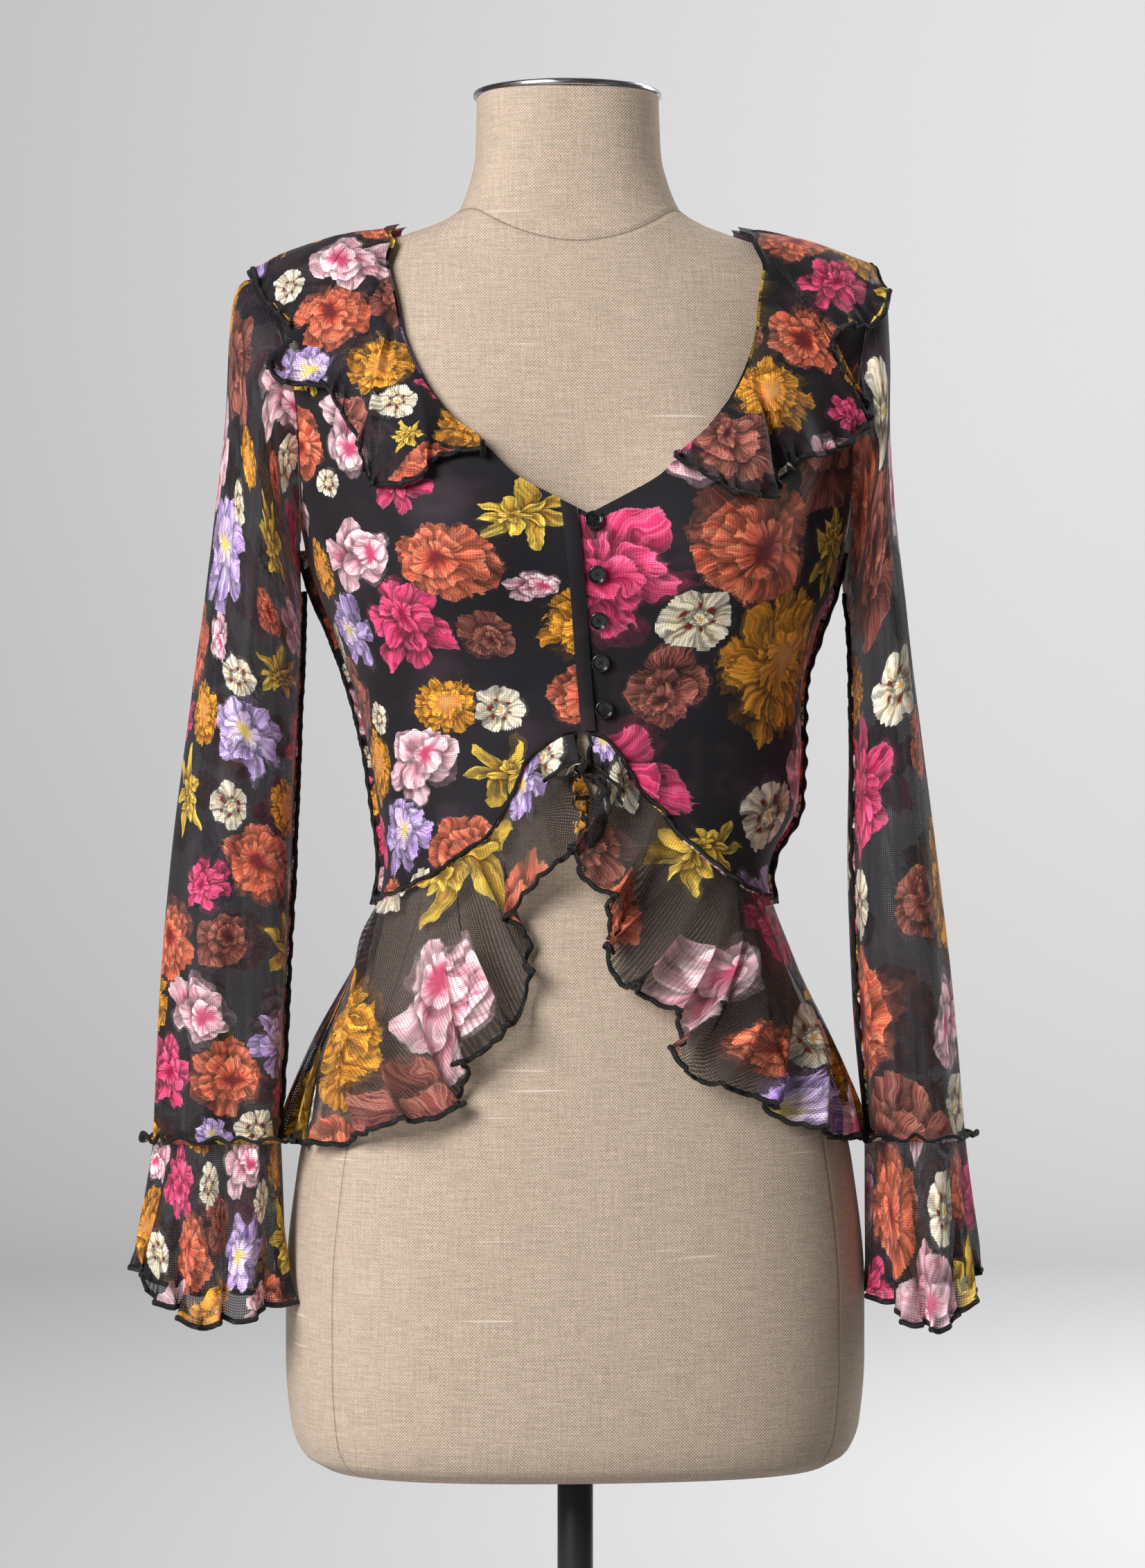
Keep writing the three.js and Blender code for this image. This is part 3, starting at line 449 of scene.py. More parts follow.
def sleeve_point(rings, place, turn):
    def ring(column):
        return read(rings, column, place)

    cosine, rise = np.cos(turn), (1 + np.cos(turn)) / 2
    x = mix(ring("inner_x"), ring("outer_x"), rise ** ring("bend"))
    z = mix(ring("inner_z"), ring("outer_z"), rise)
    y = ring("middle") - ring("depth") * np.sin(turn)
    strength = soft_step((place - SLEEVE_FOLDS["start"]) / SLEEVE_FOLDS["fade_in"])
    fold = SLEEVE_FOLDS["depth"] * strength
    fold = fold * np.cos(SLEEVE_FOLDS["count"] * turn + SLEEVE_FOLDS["turned"])
    return np.stack([x + fold * cosine, y - fold * np.sin(turn), z], -1)


def cuff_point(rings, hem, down, turn):
    top = sleeve_point(rings, rings["at"][-1] + 0 * turn, turn)
    top[..., 2] -= 2 * SEAM_GAP
    shifted = turn + CUFF_WAVE["along"] * down * np.sin(CUFF_WAVE["count"] * turn)
    cosine, sine = np.cos(shifted), np.sin(shifted)
    wave = CUFF_WAVE["out"] * np.cos(CUFF_WAVE["count"] * turn)
    half = (hem["outer_x"] - hem["inner_x"]) / 2
    x = (hem["inner_x"] + hem["outer_x"]) / 2 + (half + wave) * cosine
    y = hem["middle"] - (hem["depth"] + wave) * sine
    lowest = np.where(sine > 0, hem["front_z"], hem["back_z"])
    z = mix(mix(hem["inner_z"], hem["outer_z"], (1 + cosine) / 2), lowest, sine * sine)
    low = np.stack([x, y, z - CUFF_WAVE["lift"] * wave], -1)
    return mix(top, low, (down ** CUFF_WAVE["spread"])[..., None])


def flounce_point(table, share, out):
    """A point of the neck flounce on the +X side, before it is kept off the bodice."""
    last = table["at"][-1]
    place = share * last
    on_back = soft_step((place - FLOUNCE_WAVE["from"]) / 2)
    phase = 2 * np.pi * FLOUNCE_WAVE["on_back"] * (place - last) / (last - FLOUNCE_WAVE["from"])
    moved = place + FLOUNCE_WAVE["along"] * on_back * out * np.sin(phase)
    angle = read(table, "angle", moved)
    height = np.where(
        angle < 90, read(NECK_FRONT, "height", angle), read(NECK_BACK, "height", 180 - angle)
    )
    start = cloth_point(angle, height - 1, OVERLAY)
    hem = np.stack([read(table, axis, moved) for axis in "xyz"], -1)
    away = np.stack(
        [
            FLOUNCE_BULGE["x"] * hem[..., 0],
            FLOUNCE_BULGE["y"] * hem[..., 1],
            FLOUNCE_BULGE["z"] * (hem[..., 2] - FLOUNCE_BULGE["level"]),
        ],
        -1,
    )
    wave = FLOUNCE_WAVE["out"] * on_back * out ** FLOUNCE_WAVE["rise"] * (0.5 + 0.5 * np.cos(phase))
    lift = read(table, "bulge", moved) * 4 * out * (1 - out) + wave
    return mix(start, hem, out[..., None]) + unit(away) * lift[..., None]


def peplum_point(side, table, turn, down, phase):
    """A point of the peplum on the +X side. turn is the seam's angle, down runs from the seam to the hem."""
    strength = down ** PEPLUM_WAVE["rise"]
    angle = mix(turn, read(table, "angle", turn), down)
    angle = angle + PEPLUM_WAVE["along"] * strength * np.sin(phase)
    whose = "right" if side < 0 else "left"
    climb = np.abs(read(WAIST_SEAM, whose, turn + 1) - read(WAIST_SEAM, whose, turn - 1)) / 2
    seam = read(WAIST_SEAM, whose, turn) - SEAM_GAP - STEEP_SEAM_GAP * climb
    height = mix(seam, read(table, "height", turn), down)
    room = 1 - PEPLUM_WAVE["calm"] * np.sin(np.radians(angle)) ** 2
    wave = PEPLUM_WAVE["flare"] * down
    wave = wave + PEPLUM_WAVE["out"] * strength * (0.5 + 0.5 * np.cos(phase))
    return cloth_point(np.minimum(angle, 360 - angle), height, wave * room)


def steps_along(points, axis):
    """Distances along the rows (axis 1) or columns (axis 0) of a grid, from its first row or column."""
    length = np.linalg.norm(np.diff(points, axis=axis), axis=-1)
    return np.insert(np.cumsum(length, axis=axis), 0, 0, axis=axis)


NOISE_LENGTH = 4096


def uneven(place, pitch, seed):
    """Smooth noise from -1 to 1 along a line of places, with a bump about every pitch."""
    chosen = np.random.default_rng(seed).uniform(-1, 1, NOISE_LENGTH)
    spot = np.abs(np.asarray(place, float) / pitch) + 7
    i = spot.astype(int)
    return mix(chosen[i % NOISE_LENGTH], chosen[(i + 1) % NOISE_LENGTH], soft_step(spot - i))


# Width of a flap's sharp side, as a share of the cloth.
SHARP_SIDE = 0.005


class Cloth:
    """A grid of points of one piece. Rows run from its first edge to its last, columns go across."""

    def __init__(self, across, along, place, closed=False):
        u, v = np.meshgrid(np.linspace(0, 1, across + 1), np.linspace(0, 1, along + 1))
        self.u, self.v, self.closed = u, v, closed
        self.points = place(u, v)

    def across(self):
        """The way along the rows at each point."""
        if not self.closed:
            return np.gradient(self.points, axis=1)
        ring = self.points[:, :-1]
        step = np.roll(ring, -1, 1) - np.roll(ring, 1, 1)
        return np.concatenate([step, step[:, :1]], 1)

    def normals(self):
        """The way out of the cloth at each point, away from what it goes round."""
        if self.closed:
            core = self.points[:, :-1].mean(1, keepdims=True)
        else:
            core = self.points * (0, 0, 1)
        normal = unit(np.cross(self.across(), np.gradient(self.points, axis=0)))
        return normal * np.sign(np.sum(normal * (self.points - core)))

    def raise_by(self, amount):
        """Moves the points along their normals by an amount for each."""
        self.points = self.points + self.normals() * amount[..., None]

    def along_line(self, start, end):
        """How far along a line each point lies, as a share of it, and the line's own steps in u and v."""
        line = np.array(end) - start
        share = ((self.u - start[0]) * line[0] + (self.v - start[1]) * line[1]) / (line @ line)
        return share, line

    def crease(self, *creases):
        """Presses soft troughs or ridges into the cloth: each runs from one (u, v) to another."""
        for start, end, width, depth in creases:
            t, line = self.along_line(start, end)
            near = np.clip(t, 0, 1)
            across = np.hypot(self.u - start[0] - near * line[0], self.v - start[1] - near * line[1])
            fade = np.sin(np.pi * np.clip(0.15 + 0.7 * t, 0, 1)) ** 0.7
            self.raise_by(depth * fade * np.exp(-((across / width) ** 2)))

    def fold(self, *folds):
        """Lays flaps over the cloth: each ends sharply at a line and falls away on its reach's side."""
        for start, end, reach, height in folds:
            t, line = self.along_line(start, end)
            beside = self.u - start[0] - t * line[0]
            width = np.where(beside * reach > 0, abs(reach), SHARP_SIDE)
            fade = soft_step(np.clip(t / 0.25, 0, 1)) * soft_step(np.clip((1.25 - t) / 0.25, 0, 1))
            self.raise_by(height * fade * np.exp(-((beside / width) ** 2)))

    def ripple(self, edge, waves, seed, share=1.0):
        """Waves along an edge, the "first" or "last" row or the "left" column, at a share of their height."""
        pitch, height, reach, lean = WAVES[waves]
        along_rows = edge != "left"
        away = steps_along(self.points, 0 if along_rows else 1)
        if edge == "last":
            away = away[-1:] - away
        line = steps_along(self.points, 1 if along_rows else 0)
        place = line[{"first": 0, "last": -1}[edge]] if along_rows else line[:, 0]
        if self.closed:
            wander = place / place[-1] * pitch * round(place[-1] / pitch)
            strength = 0.8 + 0.4 * uneven(np.abs(place - place[-1] / 2), 1.7 * pitch, seed + 1)
        else:
            wander = place + 0.35 * pitch * uneven(place, 2.3 * pitch, seed)
            strength = 0.8 + 0.4 * uneven(place, 1.7 * pitch, seed + 1)
        phase = 2 * np.pi * wander / pitch
        if along_rows:
            phase, strength = phase[None, :], strength[None, :]
            tangent = unit(self.across())
        else:
            phase, strength = phase[:, None], strength[:, None]
            tangent = unit(np.gradient(self.points, axis=0))
        size = (height * share * strength * np.exp(-((away / reach) ** 2)))[..., None]
        rise, roll = np.sin(phase)[..., None], lean * np.cos(phase)[..., None]
        self.points = self.points + size * (rise * self.normals() + roll * tangent)

    def edge(self, which):
        """An edge's points, the way out of the cloth there, and its normals."""
        pick = {
            "first": (np.s_[0], np.s_[1]),
            "last": (np.s_[-1], np.s_[-2]),
            "left": (np.s_[:, 0], np.s_[:, 1]),
            "right": (np.s_[:, -1], np.s_[:, -2]),
        }[which]
        line = self.points[pick[0]]
        return line, unit(line - self.points[pick[1]]), self.normals()[pick[0]]


def corners(values):
    """A grid's values at the four corners of each of its faces."""
    stacked = np.stack([values[:-1, :-1], values[:-1, 1:], values[1:, 1:], values[1:, :-1]], 2)
    return stacked.reshape(-1, 4, values.shape[-1])


def mesh_object(name, grid, closed, cut, motifs=None):
    """A mesh of a grid of points, with its flat cut as a UV map in millimetres."""
    height, width = grid.shape[:2]
    columns = width - 1 if closed else width
    index = np.arange(height)[:, None] * columns + np.arange(width)[None, :] % columns
    faces = corners(index[..., None])[..., 0]
    points = grid[:, :columns].reshape(-1, 3) * MM
    points[:, 2] += FORM_FOOT * MM
    mesh = bpy.data.meshes.new(name)
    mesh.from_pydata(points.tolist(), [], faces.tolist())
    mesh.polygons.foreach_set("use_smooth", np.ones(len(faces), bool))
    layer = mesh.uv_layers.new(name="Cut")
    layer.data.foreach_set("uv", corners(cut).astype(np.float32).ravel())
    if motifs is not None:
        attribute = mesh.attributes.new("Motif", "FLOAT_VECTOR", "CORNER")
        attribute.data.foreach_set("vector", motifs.astype(np.float32).ravel())
    mesh.update()
    made = bpy.data.objects.new(name, mesh)
    bpy.context.scene.collection.objects.link(made)
    return made


def settle(made, material, slot, *nodes):
    """Gives a piece its material and its place in the frame, and hides the nodes that it stands for."""
    made.data.materials.append(material)
    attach(made, BODY)
    if nodes:
        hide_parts(*nodes)
    return made


# The kinds of flower in the print, with their sizes next to the print's own.
FLOWER_SIZES = {
    "carnation": 1.0,
    "iris": 1.08,
    "lily": 1.05,
    "magnolia": 0.98,
    "primrose": 0.55,
    "blossom": 1.05,
    "pansy": 1.05,
    "poppy": 0.95,
}
PRIMROSE = list(FLOWER_SIZES).index("primrose")
# A place far outside every flower, with a kind and hue that are never seen.
NO_FLOWER = (9.0, 9.0, 0.5)
# The tossed layout: distance of the first flowers, how far they stray, how near flowers and flowers of one
# kind may come, and the tries and sizes of those that fill the gaps.
TOSS = {"row": 1.78, "stray": 0.16, "near": 0.88, "same": 2.7, "tries": 700, "fillers": (0.9, 0.7, 0.5)}


def scatter(cut, reach, seed):
    """Tosses flowers over a cut without letting them touch: centres, radii, kinds, turns and hues."""
    rng = np.random.default_rng(seed)
    low, high = cut.reshape(-1, 2).min(0), cut.reshape(-1, 2).max(0)
    row = TOSS["row"] * reach
    spots = []
    for j, y in enumerate(np.arange(low[1] - row, high[1] + row, 0.9 * row)):
        for x in np.arange(low[0] - row, high[0] + row, row):
            spots.append((x + 0.5 * row * (j % 2), y))
    spots = np.array(spots) + rng.uniform(-TOSS["stray"], TOSS["stray"], (len(spots), 2)) * row
    kinds = np.array(list(FLOWER_SIZES.values()))
    centres, radii, chosen = [], [], []

    def fits(centre, radius, kind):
        if not centres:
            return True
        gaps = np.linalg.norm(np.array(centres) - centre, axis=1)
        same = gaps[np.array(chosen) == kind]
        apart = np.all(gaps > TOSS["near"] * (np.array(radii) + radius))
        return apart and np.all(same > TOSS["same"] * reach)

    def toss(centre, size, kind_order):
        for kind in kind_order:
            radius = reach * size * kinds[kind] * rng.uniform(0.92, 1.06)
            if fits(centre, radius, kind):
                centres.append(np.array(centre))
                radii.append(radius)
                chosen.append(kind)
                return

    large = [kind for kind in range(len(kinds)) if kind != PRIMROSE]
    for centre in spots:
        toss(centre, 1.0, rng.permutation(large))
    for size in TOSS["fillers"]:
        for centre in rng.uniform(low, high, (TOSS["tries"], 2)):
            toss(centre, size, rng.permutation(len(kinds))[:4])
    count = len(centres)
    turns, hues = rng.uniform(0, 2 * np.pi, count), rng.uniform(0.06, 0.94, count)
    return np.array(centres), np.array(radii), np.array(chosen), turns, hues


# Shares of a flower's radius: how far its petals may reach, and where there is only ground.
PETAL_ROOM = 1.1
GROUND_FROM = 1.5


def motif_corners(cut, reach, seed):
    """For each face's corners, the place inside the nearest flower and which flower that is."""
    centres, radii, kinds, turns, hues = scatter(cut, reach, seed)
    corner = corners(cut)
    middle = corner.mean(1)
    best = np.zeros(len(middle), int)
    nearest = np.full(len(middle), np.inf)
    for k, (centre, radius) in enumerate(zip(centres, radii)):
        distance = np.linalg.norm(middle - centre, axis=1) / radius
        best = np.where(distance < nearest, k, best)
        nearest = np.minimum(distance, nearest)
    local = (corner - centres[best][:, None]) / (PETAL_ROOM * radii[best][:, None, None])
    c, s = np.cos(turns[best])[:, None], np.sin(turns[best])[:, None]
    x, y = local[..., 0] * c + local[..., 1] * s, local[..., 1] * c - local[..., 0] * s
    which = np.broadcast_to((kinds + hues)[best][:, None], x.shape)
    motifs = np.stack([x, y, which], -1)
    motifs[nearest > GROUND_FROM] = NO_FLOWER
    return motifs


def fan_cut(cloth):
    """The flat cut of a flared piece: part of a ring, with its seam on the inner edge."""
    across, along = steps_along(cloth.points, 1), steps_along(cloth.points, 0)
    seam, hem = across[0, -1], across[-1, -1]
    deep = along[-1].mean()
    inner = seam * deep / max(hem - seam, 0.02 * seam)
    turn = (across[0] - across[0, -1] / 2) / inner
    radius = inner + along
    return np.stack([radius * np.sin(turn)[None, :], -radius * np.cos(turn)[None, :]], -1)


# How far along the neck flounce the top of the shoulder is, and how the cut is laid flat from there.
SHOULDER_SHARE = 0.72
COLLAR_FLAT = {"height": 0.87, "depth": 0.5}


def collar_cut(cloth):
    """The flat cut of the neck flounce as it lies, in front up to the shoulder's top and behind past it."""
    x, y, z = (cloth.points[..., k] for k in range(3))
    shoulder = int(SHOULDER_SHARE * (x.shape[1] - 1))
    height = np.where(cloth.u > SHOULDER_SHARE, 2 * z[:, shoulder : shoulder + 1] - z, z)
    return np.stack([x, COLLAR_FLAT["height"] * height + COLLAR_FLAT["depth"] * y], -1)


def body_cut(points, facing=-1):
    """The flat cut of a piece round the body. facing is -1 for the front and 1 for the back."""
    x, y, z = points[..., 0], points[..., 1], points[..., 2]
    width, depth = read(FORM, "core", z), read(FORM, "front", z)
    turn = np.arctan2(x / width, facing * y / depth)
    return np.stack([turn * np.sqrt((width**2 + depth**2) / 2), z], -1)


def sleeve_cut(cloth):
    ring = steps_along(cloth.points, 1)
    down = steps_along(cloth.points, 0).mean(1, keepdims=True)
    return np.stack([ring - ring[:, -1:] / 2, -down + 0 * ring], -1)


class Graph:
    """Adds nodes to a node tree and joins them as they are made."""

    def __init__(self, tree):
        self.tree = tree

    def feed(self, socket, value):
        if isinstance(value, bpy.types.NodeSocket):
            self.tree.links.new(value, socket)
        else:
            socket.default_value = value

    def node(self, kind, inputs=(), **settings):
        made = self.tree.nodes.new(kind)
        for key, value in settings.items():
            setattr(made, key, value)
        for key, value in dict(inputs).items():
            self.feed(made.inputs[key], value)
        return made

    def math(self, operation, *values, clamp=False):
        made = self.node("ShaderNodeMath", operation=operation, use_clamp=clamp)
        for socket, value in zip(made.inputs, values):
            self.feed(socket, value)
        return made.outputs[0]

    def times(self, a, b):
        return self.math("MULTIPLY", a, b)

    def plus(self, a, b):
        return self.math("ADD", a, b)

    def minus(self, a, b):
        return self.math("SUBTRACT", a, b)

    def times_plus(self, a, b, c):
        return self.math("MULTIPLY_ADD", a, b, c)

    def step(self, value, low, high, to_low=0.0, to_high=1.0):
        """A soft step of a value between two limits."""
        made = self.node("ShaderNodeMapRange", interpolation_type="SMOOTHSTEP")
        keys = ("Value", "From Min", "From Max", "To Min", "To Max")
        for key, part in zip(keys, (value, low, high, to_low, to_high)):
            self.feed(made.inputs[key], part)
        return made.outputs[0]

    def blend(self, share, a, b, kind="MIX"):
        made = self.node("ShaderNodeMix", data_type="RGBA", blend_type=kind)
        self.feed(made.inputs[0], share)
        self.feed(made.inputs[6], a)
        self.feed(made.inputs[7], b)
        return made.outputs[2]

    def scaled(self, colour, factor):
        """A colour times a number."""
        return self.node("ShaderNodeVectorMath", {0: colour, "Scale": factor}, operation="SCALE").outputs[0]

    def stretched(self, x, across, y, along):
        """A place whose two parts are each multiplied."""
        return self.joined(self.times(x, across), self.times(y, along))

    def length(self, vector):
        return self.node("ShaderNodeVectorMath", {0: vector}, operation="LENGTH").outputs["Value"]

    def attribute(self, name):
        made = self.node("ShaderNodeAttribute", attribute_name=name, attribute_type="GEOMETRY")
        return made.outputs["Vector"]

    def cut(self):
        """The place on a piece's flat cut, in millimetres."""
        return self.node("ShaderNodeUVMap", uv_map="Cut").outputs[0]

    def bump(self, height, strength, depth):
        """The normal of a surface with some relief, whose depth is in metres."""
        values = {"Strength": strength, "Distance": depth, "Height": height}
        return self.node("ShaderNodeBump", values).outputs[0]

    def joined(self, x, y, z=0.0):
        made = self.node("ShaderNodeCombineXYZ", {"X": x, "Y": y, "Z": z})
        return made.outputs[0]

    def parts(self, vector):
        return self.node("ShaderNodeSeparateXYZ", {"Vector": vector}).outputs

    def noise(self, place, scale, detail=2.0, roughness=0.5):
        return self.node(
            "ShaderNodeTexNoise",
            {"Vector": place, "Scale": scale, "Detail": detail, "Roughness": roughness},
        ).outputs[0]

    def chart(self, place, *values):
        """A colour for each of several kinds, picked by a place from 0 to 1."""
        made = self.node("ShaderNodeValToRGB", {"Fac": place})
        ramp = made.color_ramp
        ramp.interpolation = "CONSTANT"
        ramp.elements.remove(ramp.elements[-1])
        ramp.elements[0].color = (*values[0], 1)
        for k, value in enumerate(values[1:], 1):
            ramp.elements.new(k / len(values)).color = (*value, 1)
        return made.outputs[0]


def new_group(name, inputs, outputs):
    """A node group with float or colour sockets."""
    tree = bpy.data.node_groups.new(name, "ShaderNodeTree")
    kinds = {"f": "NodeSocketFloat", "v": "NodeSocketVector", "c": "NodeSocketColor"}
    for label, kind in inputs.items():
        tree.interface.new_socket(label, in_out="INPUT", socket_type=kinds[kind])
    for label, kind in outputs.items():
        tree.interface.new_socket(label, in_out="OUTPUT", socket_type=kinds[kind])
    graph = Graph(tree)
    return graph, graph.node("NodeGroupInput").outputs, graph.node("NodeGroupOutput").inputs


def petals_group():
    """One whorl of petals: how far inside it a place is, how far along a petal, its shade and its veins."""
    inputs = dict.fromkeys(("Count", "Radius", "Depth", "Power", "Frill", "Turn", "Seed"), "f")
    outputs = dict.fromkeys(("Inside", "Along", "Shade", "Vein"), "f")
    g, given, made = new_group("Petals", {"Place": "v", **inputs}, outputs)
    x, y, _ = g.parts(given["Place"])
    reach = g.length(given["Place"])
    turn = g.math("DIVIDE", g.math("ARCTAN2", y, x), 2 * math.pi)
    spot = g.plus(g.times(turn, given["Count"]), given["Turn"])
    across = g.times_plus(g.math("FRACT", spot), 2.0, -1.0)
    which = g.math("FLOORED_MODULO", g.math("FLOOR", spot), given["Count"])
    own = g.node("ShaderNodeTexWhiteNoise", {"W": g.plus(which, given["Seed"])}, noise_dimensions="1D")
    size = g.times(given["Radius"], g.times_plus(own.outputs["Value"], 0.3, 0.8))
    aside = g.math("ABSOLUTE", across)
    notch = g.times(given["Depth"], g.math("POWER", aside, given["Power"]))
    edge = g.times(size, g.minus(1.0, notch))
    ragged = g.noise(g.joined(x, y, given["Seed"]), 8.0, 3.0, 0.7)
    edge = g.plus(edge, g.times(given["Frill"], g.times_plus(ragged, 2.4, -1.2)))
    g.feed(made["Inside"], g.minus(edge, reach))
    along = g.math("DIVIDE", reach, g.math("MAXIMUM", edge, 0.05), clamp=True)
    g.feed(made["Along"], along)
    ray = g.times_plus(across, 6.0, g.times(which, 9.0))
    folds = g.noise(g.joined(ray, g.times(along, 1.6), given["Seed"]), 0.55, 2.0)
    fine = g.noise(g.joined(g.times(ray, 2.6), along, given["Seed"]), 1.4, 3.0, 0.6)
    g.feed(made["Vein"], g.step(fine, 0.44, 0.58))
    border = g.step(aside, 0.7, 1.0, 1.0, 0.42)
    lit = g.math("SINE", g.times_plus(turn, 2 * math.pi, 0.9))
    lean = g.times_plus(across, 0.22, g.times_plus(lit, 0.14, 1.0))
    streaks = g.step(folds, 0.28, 0.7, 0.42, 1.45)
    shade = g.times(g.times(border, lean), streaks)
    g.feed(made["Shade"], g.times(shade, g.step(along, 0.0, 0.5, 0.5, 1.0)))
    return g.tree


# What each kind of flower looks like, in the order of FLOWER_SIZES. Shapes: a tenth of the number of petals
# in the outer whorl, how deep they are cut, and a fifth of how sharply; then a tenth of the petals inside,
# their reach, and the frill; then the innermost whorl's reach, the flower's tilt, and its shift to one side.
OUTER_SHAPE = (
    (1.3, 0.14, 0.5), (0.6, 0.50, 0.40), (0.6, 0.72, 0.22), (0.5, 0.40, 0.5), (0.6, 0.12, 0.6),
    (0.6, 0.46, 0.44), (0.4, 0.24, 0.6), (0.6, 0.12, 0.6),
)
INNER_SHAPE = (
    (0.9, 0.78, 0.34), (0.5, 0.76, 0.22), (0.5, 0.60, 0.08), (0.3, 0.72, 0.05), (0.6, 0.30, 0.12),
    (0.5, 0.66, 0.20), (0.3, 0.66, 0.16), (0.5, 0.78, 0.22),
)
HEART_SHAPE = (
    (0.50, 0.10, 0.12), (0.44, 0.16, 0.26), (0.26, 0.30, 0.36), (0.46, 0.26, 0.44), (0.20, 0.04, 0.03),
    (0.36, 0.20, 0.24), (0.34, 0.16, 0.34), (0.50, 0.10, 0.18),
)
TIP_COLOURS = (
    (0.86, 0.27, 0.015), (0.44, 0.20, 0.72), (0.88, 0.52, 0.040), (0.98, 0.56, 0.62),
    (0.95, 0.86, 0.66), (0.84, 0.030, 0.16), (0.27, 0.050, 0.045), (0.80, 0.105, 0.050),
)
BASE_COLOURS = (
    (0.50, 0.060, 0.008), (0.74, 0.60, 0.92), (0.52, 0.21, 0.010), (0.88, 0.17, 0.30),
    (0.92, 0.76, 0.46), (0.62, 0.010, 0.09), (0.16, 0.028, 0.030), (0.58, 0.040, 0.020),
)
HEART_COLOURS = (
    (0.90, 0.42, 0.12), (0.90, 0.72, 0.10), (0.20, 0.11, 0.010), (0.60, 0.06, 0.16), (0.90, 0.52, 0.03),
    (0.30, 0.003, 0.05), (0.04, 0.008, 0.010), (0.16, 0.012, 0.014),
)
VEIN_COLOURS = (
    (0.96, 0.56, 0.06), (0.90, 0.84, 0.96), (0.98, 0.80, 0.18), (0.99, 0.88, 0.90), (0.98, 0.95, 0.86),
    (0.98, 0.20, 0.36), (0.56, 0.24, 0.16), (0.97, 0.40, 0.22),
)
DARK_COLOURS = (
    (0.16, 0.014, 0.004), (0.16, 0.050, 0.34), (0.16, 0.06, 0.004), (0.66, 0.14, 0.24),
    (0.72, 0.50, 0.26), (0.24, 0.002, 0.04), (0.05, 0.010, 0.012), (0.26, 0.015, 0.01),
)


